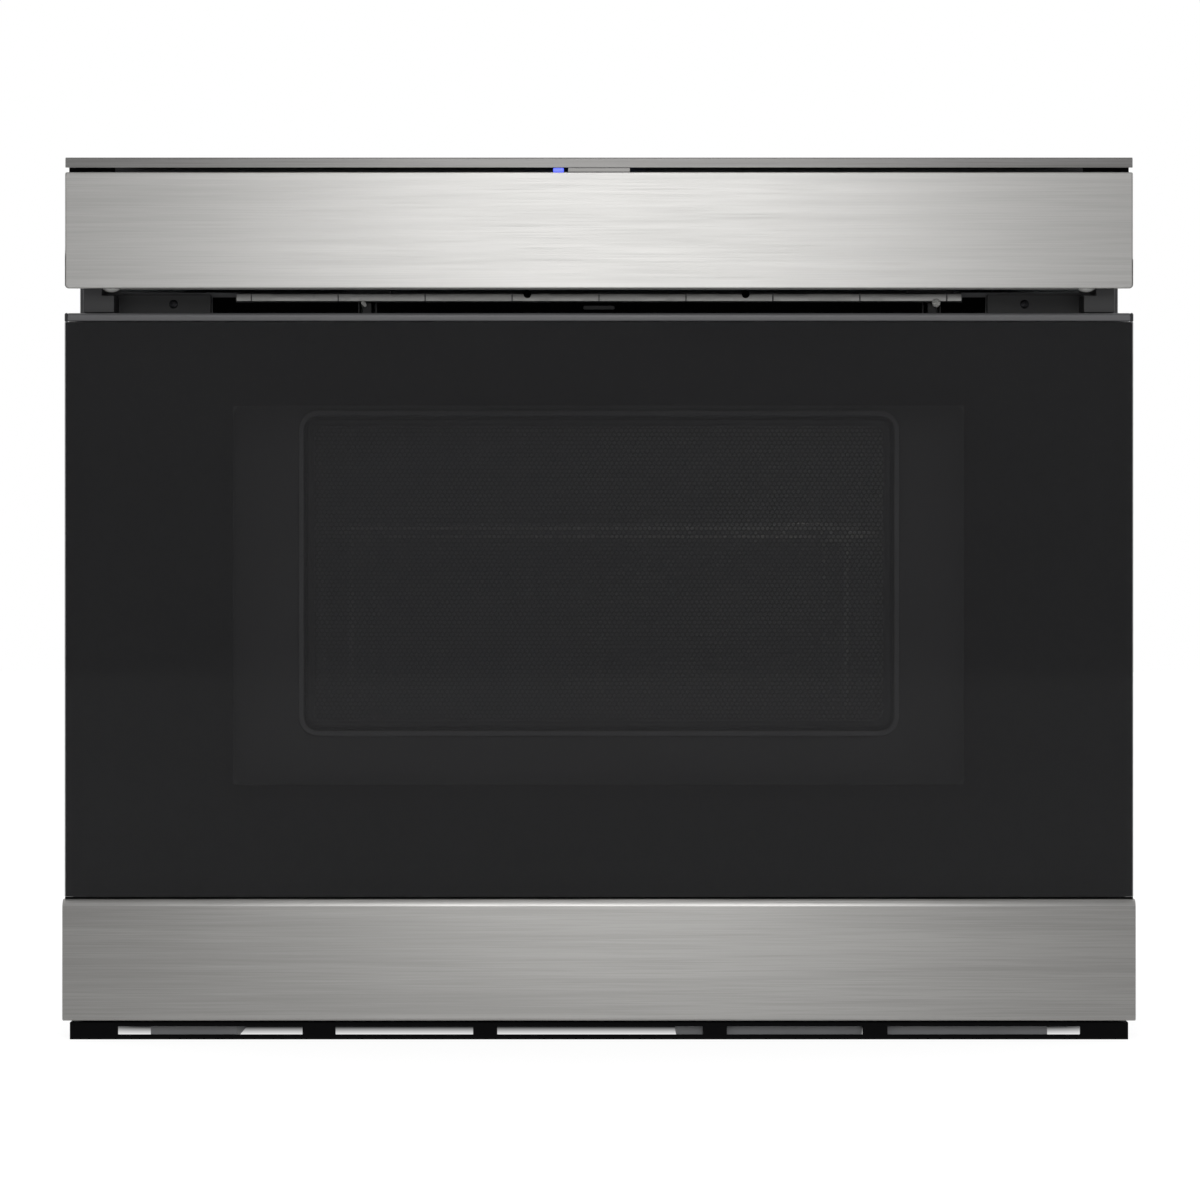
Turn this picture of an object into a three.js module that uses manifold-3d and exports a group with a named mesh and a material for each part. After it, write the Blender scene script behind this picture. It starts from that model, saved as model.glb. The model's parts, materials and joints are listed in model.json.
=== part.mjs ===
// A built-in microwave drawer with a tilting control panel, seen from the front along +Y.
// Millimetres, +Z up, +X to the viewer's right. The unit stands on z = 0 and is centred on the origin.
// Every depth is worked out backwards from FRONT, the plane of the stainless lower band.

import * as THREE from "three";
import { mergeVertices } from "three/addons/utils/BufferGeometryUtils.js";
import Module from "manifold-3d";

const wasm = await Module();
wasm.setup();

// ---- Driving dimensions ----------------------------------------------------------------------

// Overall: the width over the lower band, and the depth from its face to the back panel
const FRONT_WIDTH = 606.4;
const DEPTH = 595;

// How far each piece of the front stands in from the lower band's ends
const GLASS_STEP = 1;
const FASCIA_STEP = 1.5;
const STRIP_STEP = 1.8;
const DOOR_TRIM_STEP = 2.2;
const VENT_STEP = 3.9;
const FRAME_STEP = 5.2;

// Spaces between the shells, from the outside inwards
const FRAME_FLANGE = 20; // from the frame's side edge to the wrapper
const SIDE_SPACE = 66; // from the wrapper to the pan
const REAR_SPACE = 142.8; // from the pan to the back panel, for the fan and its motor
const PAN_DROP = 54; // from the door glass's upper edge down to the pan's rim
const WRAPPER_RISE = 64; // from the door glass's upper edge up to the wrapper's top

// Heights of the strips of the front, from the floor up
const VENT_HEIGHT = 9.8;
const FLOOR_GAP = 1.0;
const BAND_HEIGHT = 68.6;
const GLASS_HEIGHT = 326.4;
const DOOR_TRIM_HEIGHT = 4.7;
const PANEL_GAP = 13.6;
const FASCIA_HEIGHT = 65.7;
const STRIP_GAP = 2.6;
const STRIP_HEIGHT = 5.7;

// Clearances
const SEAT = 0.2; // between pieces that rest on each other
const NEST = 0.3; // between rail members, and between a pin and its hole
const RUN = 1.5; // between moving pieces that pass each other

// Sheet and wall thicknesses
const STAINLESS = 1.0;
const STEEL = 1.2;
const FRAME_STEEL = 2.0;
const PLASTIC = 2.5;

// Door, from the front backwards
const GLASS_SETBACK = 3;
const GLASS_THICKNESS = 4;
const TRAY_DEPTH = 28;
const CHOKE_THICKNESS = 1.6;
const GASKET_THICKNESS = 3.6;
const SIGHT_STEP = 5; // opening in the door tray: its sides stand in from the pan's,
const SIGHT_DROP = 12; // its lower edge lies under the pan's floor
const SIGHT_RISE = 7; // and its upper edge over the rim
const BEAD_STEP = 35; // raised bead round the window of the choke panel, in from the opening's sides
const BEAD_LOW = 14.6; // its lower edge over the pan's floor
const BEAD_HIGH = 5; // its upper edge over the rim
const BEAD_SECTION = 3;
const BEAD_DEPTH = 2.4;
const WINDOW_INSET = 9; // from the bead's outside to the hole behind the screen

// Control panel
const PIVOT_SETBACK = 20;
const PIVOT_RISE = 5.5; // above the fascia's lower edge
const PANEL_PLAY = 3; // between the panel's end and the pillar
const CONTROL_GLASS_THICKNESS = 3;
const TAB_WIDTH = 35;
const LENS_X = -22.9;
const LENS_WIDTH = 6;
const PIN_RADIUS = 3;

const FASCIA_HEM = 8;

// Mounting frame and hinge brackets
const LIP_CLEAR = 14.5; // between the lip's end and the bracket's foot
const LIP_HEIGHT = 4.8; // its top is level with the fascia's lower edge
const LIP_DEPTH = 6;
const LIP_SEAM_PITCH = 49.8;
const PILLAR_STEP = 5; // in from the frame's side edge
const PILLAR_WIDTH = 17.5;
const PILLAR_DEPTH = 26;
const BRACKET_FOOT = 50;
const FOOT_SCREW = 31.5; // from the pillar to the screw in the foot
const BUSH_RADIUS = 7.8;
const BUSH_END_RADIUS = 4.7;
const BUSH_SINK = 7; // into the pillar

// Oven cavity and drawer pan
const PAN_FLOOR = 156;
const PAN_CORNER = 16;
const RIM = 4;
const CAVITY_SIDE_GAP = 6.3;
const CAVITY_FLOOR_GAP = 6.8;
const CAVITY_ROOF_GAP = 20.8;
const CAVITY_BACK_GAP = 11.6;
const TRAY_SIDE_GAP = 32; // between the ceramic tray and the pan's walls
const TRAY_END_GAP = 22.5;
const TRAY_THICKNESS = 4;
const RACK_RISE = 135; // from the pan's floor to the wire rack's border
const RACK_SIDE_STEP = 15; // in from the ceramic tray's edges
const RACK_END_STEP = 20;
const RACK_BARS = 11;
const FAN_RISE = 98; // from the pan's floor to the centre of the convection fan
const FAN_PORT = 62; // radius of the ports in the pan's and the cavity's rear walls

// Rails
const RAIL_HEIGHT = 40;
const RAIL_DROP = 30; // from the cavity's underside to the middle of the rail
const RAIL_STANDOFF = 27; // from the wrapper to the outer rail
const RAIL_EXCESS = 10; // how much longer than the pan the rails are
const RAIL_STEEL = 1.4;
const RAIL_LIP = 9;
const TRAVEL_RESERVE = 35; // length of the pan that stays inside when the drawer is open

// Rack and pinion drive
const MODULE = 2;
const PINION_TEETH = 18;
const PRESSURE = THREE.MathUtils.degToRad(20);
const BACKLASH = 0.3;
const RACK_X = -149;
const GEAR_WIDTH = 9;
const PITCH_DROP = 28; // from the cavity's underside to the rack's pitch line
const RACK_BACK = 9; // bar above the pitch line
const PINION_SETBACK = 72;

// Base
const FOOT_HEIGHT = 8.6;
const RUNNER_STEP = 24; // in from the wrapper's side
const RUNNER_WIDTHS = { left: 49, centre: 105, right: 92 };
const RUNNER_GAP = 13; // between the centre and the right one
const VENT_SLOT_MARGIN = 27.1; // from the grille's end to its first slot
const VENT_BARS = [
  [-167.7, -149.1],
  [-71.2, -57.6],
  [58.7, 72.3],
  [149.1, 163.2],
];
const VENT_SLOT_BOTTOM = 2.6;
const VENT_SLOT_HEIGHT = 4.8;
const VENT_SETBACK = 3;
const VENT_WALL = 3;

// ---- Places worked out from them -------------------------------------------------------------

const FRONT = -DEPTH / 2;
const BACK = DEPTH / 2;

const glassWidth = FRONT_WIDTH - 2 * GLASS_STEP;
const fasciaWidth = FRONT_WIDTH - 2 * FASCIA_STEP;
const stripWidth = FRONT_WIDTH - 2 * STRIP_STEP;
const doorTrimWidth = FRONT_WIDTH - 2 * DOOR_TRIM_STEP;
const ventWidth = FRONT_WIDTH - 2 * VENT_STEP;
const frameWidth = FRONT_WIDTH - 2 * FRAME_STEP;
const chassisWidth = frameWidth - 2 * FRAME_FLANGE;
const chassisHalf = chassisWidth / 2;
const pillarOuter = frameWidth / 2 - PILLAR_STEP;
const pillarInner = pillarOuter - PILLAR_WIDTH;
const housingWidth = 2 * (pillarInner - PANEL_PLAY);
const footInner = pillarInner - PANEL_PLAY - BRACKET_FOOT;
const lipWidth = 2 * (footInner - LIP_CLEAR);

const bandBottom = VENT_HEIGHT + FLOOR_GAP;
const bandTop = bandBottom + BAND_HEIGHT;
const glassBottom = bandTop + SEAT;
const glassTop = glassBottom + GLASS_HEIGHT;
const doorTop = glassTop + SEAT + DOOR_TRIM_HEIGHT;
const fasciaBottom = doorTop + PANEL_GAP;
const fasciaTop = fasciaBottom + FASCIA_HEIGHT;
const stripBottom = fasciaTop + STRIP_GAP;
const top = stripBottom + STRIP_HEIGHT;

const glassFront = FRONT + GLASS_SETBACK;
const trayFront = glassFront + GLASS_THICKNESS + SEAT;
const trayBack = trayFront + TRAY_DEPTH;
const chokeFront = trayBack + SEAT;
const chokeBack = chokeFront + CHOKE_THICKNESS;
const doorBack = chokeBack + SEAT; // what the door carries behind it starts here
const frameFront = doorBack + GASKET_THICKNESS + SEAT;
const frameBack = frameFront + FRAME_STEEL;
const chassisFront = frameBack + SEAT;
const chassisBack = BACK - STEEL - SEAT;

const pivotY = FRONT + PIVOT_SETBACK;
const pivotZ = fasciaBottom + PIVOT_RISE;
const controlTop = fasciaTop - STAINLESS - SEAT;
// the panel is as deep as its rear edge can be and still swing under the top trim's lip
const panelSweep = Math.hypot(stripBottom - RUN - pivotZ, PIVOT_SETBACK - STAINLESS);
const panelBack = pivotY + Math.sqrt(panelSweep ** 2 - (controlTop - pivotZ) ** 2);

const baseBottom = FOOT_HEIGHT + SEAT;
const baseTop = baseBottom + STEEL;
const chassisTop = glassTop + WRAPPER_RISE;
const chassisInner = chassisHalf - STEEL - SEAT;

const panHalf = chassisHalf - SIDE_SPACE;
const panFront = doorBack;
const panBack = BACK - REAR_SPACE;
const panDepth = panBack - panFront;
const panTop = glassTop - PAN_DROP;
const panMiddle = (panFront + panBack) / 2;
const cavityHalf = panHalf + CAVITY_SIDE_GAP + STEEL;
const cavityBottom = PAN_FLOOR - CAVITY_FLOOR_GAP - STEEL;
const cavityTop = panTop + CAVITY_ROOF_GAP + STEEL;
const cavityBack = panBack + CAVITY_BACK_GAP + STEEL;
const ceramicTop = PAN_FLOOR + STEEL + SEAT + TRAY_THICKNESS;
const ceramicWidth = 2 * (panHalf - TRAY_SIDE_GAP);
const ceramicLength = panDepth - 2 * TRAY_END_GAP;
const rackLevel = PAN_FLOOR + RACK_RISE;
const fanHeight = PAN_FLOOR + FAN_RISE;

const railCentre = cavityBottom - RAIL_DROP;
const railOuterX = chassisHalf - RAIL_STANDOFF;
const railLength = panDepth + RAIL_EXCESS;
const travel = panDepth - TRAVEL_RESERVE;

const pitchLevel = cavityBottom - PITCH_DROP;
const pinionRadius = (MODULE * PINION_TEETH) / 2;
const pinionY = FRONT + PINION_SETBACK;
const pinionZ = pitchLevel - pinionRadius;
const toothPitch = Math.PI * MODULE;

// ---- Looks -----------------------------------------------------------------------------------

const LOOKS = {
  brushed: { color: 0xbcbbb8, roughness: 0.32, metalness: 1 },
  galvanised: { color: 0x9a9d9f, roughness: 0.45, metalness: 1 },
  darkSteel: { color: 0x55565a, roughness: 0.5, metalness: 0.8 },
  chrome: { color: 0xd9dadc, roughness: 0.12, metalness: 1 },
  enamel: { color: 0x3c3d40, roughness: 0.35, metalness: 0.2 },
  blackGlass: { color: 0x141416, roughness: 0.08, metalness: 0 },
  blackPlastic: { color: 0x161618, roughness: 0.5, metalness: 0 },
  rubber: { color: 0x202022, roughness: 0.85, metalness: 0 },
  nylon: { color: 0xeeeeea, roughness: 0.5, metalness: 0 },
  ceramic: { color: 0xd8d6d0, roughness: 0.25, metalness: 0 },
  copper: { color: 0x9a5a34, roughness: 0.45, metalness: 0.8 },
  board: { color: 0x2f5b3a, roughness: 0.55, metalness: 0 },
  lamp: { color: 0x5068ff, roughness: 0.3, metalness: 0 },
};

// ---- Shapes ----------------------------------------------------------------------------------

function signedVolume(points, faces) {
  const [a, b, c] = [new THREE.Vector3(), new THREE.Vector3(), new THREE.Vector3()];
  let sum = 0;
  for (let i = 0; i < faces.length; i += 3) {
    a.fromArray(points, faces[i] * 3);
    b.fromArray(points, faces[i + 1] * 3);
    c.fromArray(points, faces[i + 2] * 3);
    sum += a.dot(b.cross(c));
  }
  return sum;
}

// A closed geometry as a solid: shared points merged, empty faces left out, faces turned outwards
function solid(geometry) {
  const bare = geometry.clone();
  bare.deleteAttribute("normal");
  bare.deleteAttribute("uv");
  const merged = mergeVertices(bare, 1e-4);
  const points = merged.attributes.position.array;
  const all = merged.index.array;
  const faces = [];
  for (let i = 0; i < all.length; i += 3) {
    const [p, q, r] = all.slice(i, i + 3);
    if (p !== q && q !== r && r !== p) faces.push(p, q, r);
  }
  if (signedVolume(points, faces) < 0) faces.reverse();
  const mesh = new wasm.Mesh({
    numProp: 3,
    vertProperties: new Float32Array(points),
    triVerts: new Uint32Array(faces),
  });
  return new wasm.Manifold(mesh);
}

function geometryOf(body) {
  const mesh = body.getMesh();
  const geometry = new THREE.BufferGeometry();
  geometry.setAttribute("position", new THREE.BufferAttribute(mesh.vertProperties, 3));
  geometry.setIndex(new THREE.BufferAttribute(mesh.triVerts, 1));
  return geometry;
}

function block([x0, x1], [y0, y1], [z0, z1]) {
  const geometry = new THREE.BoxGeometry(Math.abs(x1 - x0), y1 - y0, z1 - z0);
  geometry.translate((x0 + x1) / 2, (y0 + y1) / 2, (z0 + z1) / 2);
  return solid(geometry);
}

function extruded(shape, length, axes, origin, curveSegments) {
  const geometry = new THREE.ExtrudeGeometry(shape, { depth: length, bevelEnabled: false, curveSegments });
  geometry.applyMatrix4(new THREE.Matrix4().makeBasis(...axes).setPosition(origin));
  return solid(geometry);
}

const X = new THREE.Vector3(1, 0, 0);
const Y = new THREE.Vector3(0, 1, 0);
const Z = new THREE.Vector3(0, 0, 1);

// A (y, z) outline swept along X, an (x, z) outline along Y, and an (x, y) outline along Z
const alongX = (shape, [x0, x1], segments = 3) =>
  extruded(shape, x1 - x0, [Y, Z, X], X.clone().multiplyScalar(x0), segments);
const alongY = (shape, [y0, y1], segments = 3) =>
  extruded(shape, y1 - y0, [X, Z, Y.clone().negate()], Y.clone().multiplyScalar(y1), segments);
const alongZ = (shape, [z0, z1], segments = 3) =>
  extruded(shape, z1 - z0, [X, Y, Z], Z.clone().multiplyScalar(z0), segments);

const polygon = (points) => new THREE.Shape(points.map(([u, v]) => new THREE.Vector2(u, v)));

function roundedRect([u0, u1], [v0, v1], radius) {
  const shape = new THREE.Shape();
  shape.moveTo(u0 + radius, v0);
  shape.lineTo(u1 - radius, v0);
  shape.absarc(u1 - radius, v0 + radius, radius, -Math.PI / 2, 0);
  shape.lineTo(u1, v1 - radius);
  shape.absarc(u1 - radius, v1 - radius, radius, 0, Math.PI / 2);
  shape.lineTo(u0 + radius, v1);
  shape.absarc(u0 + radius, v1 - radius, radius, Math.PI / 2, Math.PI);
  shape.lineTo(u0, v0 + radius);
  shape.absarc(u0 + radius, v0 + radius, radius, Math.PI, 1.5 * Math.PI);
  return shape;
}

// A sheet folded along a path, its thickness on the left of the path
function folded(path, thickness) {
  const points = path.map(([u, v]) => new THREE.Vector2(u, v));
  const normals = points.slice(1).map((end, i) => {
    const along = end.clone().sub(points[i]).normalize();
    return new THREE.Vector2(-along.y, along.x);
  });
  const offset = points.map((point, i) => {
    const before = normals[Math.max(i - 1, 0)];
    const after = normals[Math.min(i, normals.length - 1)];
    const mitre = before.clone().add(after).divideScalar(1 + before.dot(after));
    return point.clone().addScaledVector(mitre, thickness);
  });
  return new THREE.Shape([...points, ...offset.reverse()]);
}

// A profile of [radius, distance along the axis] turned round an axis through a centre
function turned(profile, axis, centre, steps = 24) {
  const geometry = new THREE.LatheGeometry(profile.map(([r, h]) => new THREE.Vector2(r, h)), steps);
  const basis = { x: [Y, X, Z.clone().negate()], y: [X, Y, Z], z: [X, Z, Y.clone().negate()] }[axis];
  const origin = new THREE.Vector3(...centre);
  origin[axis] = 0;
  geometry.applyMatrix4(new THREE.Matrix4().makeBasis(...basis).setPosition(origin));
  return solid(geometry);
}

const rod = (radius, axis, centre, [from, to], steps = 12) =>
  turned([[0, from], [radius, from], [radius, to], [0, to]], axis, centre, steps);

const union = (bodies) => bodies.reduce((whole, body) => whole.add(body));
const without = (body, cuts) => cuts.reduce((whole, cut) => whole.subtract(cut), body);

function rotated(body, axis, angle, centre) {
  const geometry = geometryOf(body);
  const pivot = new THREE.Vector3(...centre);
  geometry.translate(-pivot.x, -pivot.y, -pivot.z);
  geometry.applyMatrix4(new THREE.Matrix4().makeRotationAxis(axis, angle));
  geometry.translate(pivot.x, pivot.y, pivot.z);
  return solid(geometry);
}

function mirrored(body) {
  const geometry = geometryOf(body);
  geometry.scale(-1, 1, 1);
  return solid(geometry);
}

const centred = (width) => [-width / 2, width / 2];
const about = (middle, length) => [middle - length / 2, middle + length / 2];
const inset = ([low, high], by) => [low + by, high - by];

// ---- The model -------------------------------------------------------------------------------

const drawer = new THREE.Group();

function part(name, body, look) {
  const material = new THREE.MeshStandardMaterial({ ...LOOKS[look], flatShading: true });
  const mesh = new THREE.Mesh(geometryOf(body), material);
  mesh.name = name;
  drawer.add(mesh);
}

// Left and right copies of a piece that is drawn for the right side
function pair(name, body, look) {
  part(`${name}_left`, mirrored(body), look);
  part(`${name}_right`, body, look);
}

// ---- Base, frame and wrapper -----------------------------------------------------------------

const BASE_FLANGE = 18;
const RUNNER_INSET = 20; // from the wrapper's ends
const VENT_FLANGE = 1.5;
const VENT_UPTURN = 5.7;
const NOSE_GAP = 2; // between a runner's nose and the grille's wall
const NOSE_DROP = 0.5; // below the grille's flange
const NOSE_BEVEL = 2;

const ventFront = FRONT + VENT_SETBACK;
const ventUnderside = VENT_HEIGHT - VENT_FLANGE;

function basePlate() {
  const path = [
    [-chassisInner, baseBottom + BASE_FLANGE],
    [-chassisInner, baseBottom],
    [chassisInner, baseBottom],
    [chassisInner, baseBottom + BASE_FLANGE],
  ];
  const tray = alongY(folded(path, STEEL), [chassisFront, chassisBack]);
  const frontFlange = block(
    centred(2 * chassisInner),
    [chassisFront, chassisFront + STEEL],
    [baseBottom, baseBottom + BASE_FLANGE]
  );
  return tray.add(frontFlange);
}

// A runner under the base, with a lower nose that reaches forward under the grille's flange
function runner(range) {
  const [y0, y1] = [chassisFront + RUNNER_INSET, chassisBack - RUNNER_INSET];
  const nose = ventFront + VENT_WALL + NOSE_GAP;
  const noseTop = ventUnderside - NOSE_DROP;
  const sled = polygon([
    [nose + NOSE_BEVEL, 0],
    [y1 - FOOT_HEIGHT, 0],
    [y1, FOOT_HEIGHT],
    [y0, FOOT_HEIGHT],
    [y0, noseTop],
    [nose, noseTop],
    [nose, NOSE_BEVEL],
  ]);
  return alongX(sled, range);
}

const runnerOuter = chassisHalf - RUNNER_STEP;
const centreEnd = runnerOuter - RUNNER_WIDTHS.right - RUNNER_GAP;
const runners = {
  left: [-runnerOuter, RUNNER_WIDTHS.left - runnerOuter],
  centre: [centreEnd - RUNNER_WIDTHS.centre, centreEnd],
  right: [runnerOuter - RUNNER_WIDTHS.right, runnerOuter],
};

function ventGrille() {
  const width = centred(ventWidth);
  const flangeBack = frameFront - SEAT;
  const wall = block(width, [ventFront, ventFront + VENT_WALL], [0, VENT_HEIGHT]);
  const flange = block(width, [ventFront, flangeBack], [ventUnderside, VENT_HEIGHT]);
  const upturn = block(
    width,
    [flangeBack - VENT_FLANGE, flangeBack],
    [ventUnderside, VENT_HEIGHT + VENT_UPTURN]
  );
  const edges = [-ventWidth / 2 + VENT_SLOT_MARGIN, ...VENT_BARS.flat(), ventWidth / 2 - VENT_SLOT_MARGIN];
  const slots = Array.from({ length: edges.length / 2 }, (_, i) =>
    block(
      edges.slice(2 * i, 2 * i + 2),
      [ventFront - 1, ventFront + VENT_WALL + 1],
      [VENT_SLOT_BOTTOM, VENT_SLOT_BOTTOM + VENT_SLOT_HEIGHT]
    )
  );
  return without(union([wall, flange, upturn]), slots);
}

const MOUTH_RISE = 6; // from the pan's rim to the mouth's upper edge
const BAY_SILL = 0.5; // from the fascia's lower edge to the bay's
const BAY_HEAD = 3; // frame left standing over the bay
const SHELF_STEEL = 1.5;
const HOOD_DEPTH = 16; // closes the control bay from behind, above the wrapper
const HOOD_OVERLAP = 3; // past each side of the bay
const SEAM = { width: 1, depth: 0.6, low: 5, high: 2 };
const NOTCH = { width: 3, depth: 1.2, ledge: 2 };
const NOTCHES_X = [-40.7, 83.6];
const HOOK_WIDTH = 5;
const HOOK_HEIGHT = 7.2;
const HOOK_GAP = 0.8; // under the lip
const LEFT_HOOK_X = -133;
const RIGHT_HOOK_STEP = 17.1; // in from the lip's end
const RAIL_HOLE = { width: 24, play: 2 };
const RACK_HOLE_PLAY = 4;

const lipTop = fasciaBottom;
const frameTop = top - STAINLESS - SEAT;
const mouthTop = panTop + MOUTH_RISE;
const mouthBottom = cavityBottom + STEEL;
const bayBottom = fasciaBottom + BAY_SILL;
const hooksX = [LEFT_HOOK_X, lipWidth / 2 - RIGHT_HOOK_STEP];
const hookTop = lipTop - LIP_HEIGHT - HOOK_GAP;
const hookBottom = hookTop - HOOK_HEIGHT;
const railHalf = RAIL_HEIGHT / 2;

function frontFrame() {
  const through = [frameFront - 1, frameBack + 1];
  const lipFront = frameFront - LIP_DEPTH;
  const plate = block(centred(frameWidth), [frameFront, frameBack], [bandBottom, frameTop]);
  const shelfY = [frameFront - PILLAR_DEPTH, frameBack];
  const shelf = block(centred(frameWidth), shelfY, [frameTop - SHELF_STEEL, frameTop]);
  const lip = block(centred(lipWidth), [lipFront, frameFront + 1], [lipTop - LIP_HEIGHT, lipTop]);
  const lipSeams = Math.floor(lipWidth / LIP_SEAM_PITCH);
  const seams = Array.from({ length: lipSeams }, (_, i) => {
    const x = about((i - (lipSeams - 1) / 2) * LIP_SEAM_PITCH, SEAM.width);
    return block(x, [lipFront - 1, lipFront + SEAM.depth], [lipTop - SEAM.low, lipTop - SEAM.high]);
  });
  const notches = NOTCHES_X.map((x) =>
    block(about(x, NOTCH.width), [lipFront - 1, frameFront - NOTCH.ledge], [lipTop - NOTCH.depth, lipTop + 1])
  );
  const hoodX = centred(2 * (pillarInner + HOOD_OVERLAP));
  const hoodY = [frameBack - 0.5, frameBack + HOOD_DEPTH];
  const hood = block(hoodX, hoodY, [chassisTop + SEAT, frameTop]);
  const hoodSpace = block(
    inset(hoodX, STEEL),
    [frameFront, hoodY[1] - STEEL],
    [chassisTop - 1, frameTop - STEEL]
  );
  const bay = block(centred(2 * pillarInner), through, [bayBottom, frameTop - BAY_HEAD]);
  const mouth = alongY(
    roundedRect(centred(2 * (cavityHalf - STEEL)), [mouthBottom, mouthTop], PAN_CORNER / 2),
    through
  );
  const railHoles = [-1, 1].map((side) =>
    block(
      about(side * (railOuterX - RAIL_LIP), RAIL_HOLE.width),
      through,
      about(railCentre, RAIL_HEIGHT + 2 * RAIL_HOLE.play)
    )
  );
  const rackSlot = block(
    about(RACK_X, GEAR_WIDTH + 2 * RACK_HOLE_PLAY),
    through,
    [pitchLevel - MODULE - RACK_HOLE_PLAY, pitchLevel + RACK_BACK + RACK_HOLE_PLAY]
  );
  const hookSlots = hooksX.map((x) =>
    block(about(x, HOOK_WIDTH + 5), through, [hookBottom - 3, hookTop + 0.6])
  );
  return without(union([plate, shelf, lip, hood.subtract(hoodSpace)]), [
    ...seams,
    ...notches,
    bay,
    mouth,
    ...railHoles,
    rackSlot,
    ...hookSlots,
  ]);
}

const TRIM_CHAMFER = 0.8;

function topTrim() {
  const path = [
    [frameBack, top],
    [FRONT + TRIM_CHAMFER, top],
    [FRONT, top - TRIM_CHAMFER],
    [FRONT, stripBottom],
  ];
  return alongX(folded(path, STAINLESS), centred(stripWidth));
}

const bushEnd = pillarInner + BUSH_SINK;
const PILLAR_REST = 0.9; // over the door
const PILLAR_RISE = 9; // over the pivot
const BUSH_PLAY = 0.5;
const BRACKET_FOOT_STEEL = 4;
const FOOT_SCREW_RADIUS = 2;

// The hinge bracket's pillar shows beside the fascia's lower edge, its foot is screwed to the frame
function hingeBracket() {
  const pillarFront = frameFront - PILLAR_DEPTH;
  const rear = frameFront - SEAT;
  const pillarBottom = doorTop + PILLAR_REST;
  const pillar = block([pillarInner, pillarOuter], [pillarFront, rear], [pillarBottom, pivotZ + PILLAR_RISE]);
  const bushSpace = block(
    [pillarInner - 1, bushEnd],
    [pillarFront - 1, rear + 1],
    [pivotZ - BUSH_RADIUS - BUSH_PLAY, pivotZ + PILLAR_RISE + 1]
  );
  const foot = block(
    [footInner, pillarInner + 1],
    [rear - BRACKET_FOOT_STEEL, rear],
    [pillarBottom, fasciaBottom - PILLAR_REST]
  );
  const screwHole = rod(
    FOOT_SCREW_RADIUS,
    "y",
    [pillarInner - FOOT_SCREW, 0, (pillarBottom + lipTop) / 2],
    [rear - BRACKET_FOOT_STEEL - 1, rear - 1]
  );
  const pinHole = rod(PIN_RADIUS + NEST, "x", [0, pivotY, pivotZ], [pillarInner - 1, pillarOuter + 1]);
  return without(pillar.subtract(bushSpace).add(foot), [screwHole, pinHole]);
}

// A domed nylon bush round the hinge pin, between the panel's end and the pillar
function hingeBush() {
  const [from, to] = [housingWidth / 2 + NEST, bushEnd - SEAT];
  const middle = (from + to) / 2;
  const profile = [
    [PIN_RADIUS + NEST, from],
    [BUSH_END_RADIUS, from],
    [BUSH_RADIUS, middle - 1],
    [BUSH_RADIUS, middle + 1],
    [BUSH_END_RADIUS, to],
    [PIN_RADIUS + NEST, to],
    [PIN_RADIUS + NEST, from],
  ];
  return turned(profile, "x", [0, pivotY, pivotZ], 14);
}

const ROOF_SLOTS = { count: 9, first: 60, pitch: 16, width: 6, length: 60, setback: 90 };

function outerWrapper() {
  const { count, first, pitch, width, length, setback } = ROOF_SLOTS;
  const path = [
    [chassisHalf, baseBottom],
    [chassisHalf, chassisTop],
    [-chassisHalf, chassisTop],
    [-chassisHalf, baseBottom],
  ];
  const shell = alongY(folded(path, STEEL), [chassisFront, chassisBack]);
  const slotY = [BACK - setback - length, BACK - setback];
  const slots = Array.from({ length: count }, (_, i) =>
    block(about(first + i * pitch, width), slotY, [chassisTop - STEEL - 1, chassisTop + 1])
  );
  return without(shell, slots);
}

const COOLING_FAN = {
  x: chassisHalf - 110,
  z: 64,
  radius: 40,
  play: 2,
  frame: 92,
  corner: 5,
  depth: 25,
  hub: 15,
};
const FAN_SLOTS = { count: 7, pitch: 11, width: 5, length: 76 };
const OUTLET_SLOTS = { count: 14, pitch: 16, width: 6, length: 40, drop: 30 };
const GLAND = { x: 68 - chassisHalf, z: 60, neck: 8, bore: 5, collar: 4, length: 8 };

function backPanel() {
  const through = [chassisBack, BACK + 1];
  const plate = block(centred(chassisWidth), [chassisBack + SEAT, BACK], [baseBottom, chassisTop]);
  const offset = ({ count, pitch }, i) => (i - (count - 1) / 2) * pitch;
  const rows = Array.from({ length: FAN_SLOTS.count }, (_, i) =>
    block(
      about(COOLING_FAN.x, FAN_SLOTS.length),
      through,
      about(COOLING_FAN.z + offset(FAN_SLOTS, i), FAN_SLOTS.width)
    )
  );
  const outletTop = chassisTop - OUTLET_SLOTS.drop;
  const outletZ = [outletTop - OUTLET_SLOTS.length, outletTop];
  const upper = Array.from({ length: OUTLET_SLOTS.count }, (_, i) =>
    block(about(offset(OUTLET_SLOTS, i), OUTLET_SLOTS.width), through, outletZ)
  );
  const cordHole = rod(GLAND.neck + NEST, "y", [GLAND.x, 0, GLAND.z], through, 16);
  return without(plate, [...rows, ...upper, cordHole]);
}

function cordGland() {
  const { bore, neck, collar, length } = GLAND;
  const profile = [
    [bore, chassisBack - length],
    [neck + collar, chassisBack - length],
    [neck + collar, chassisBack],
    [neck, chassisBack],
    [neck, BACK - SEAT],
    [bore, BACK - SEAT],
    [bore, chassisBack - length],
  ];
  return turned(profile, "y", [GLAND.x, 0, GLAND.z], 20);
}

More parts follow.
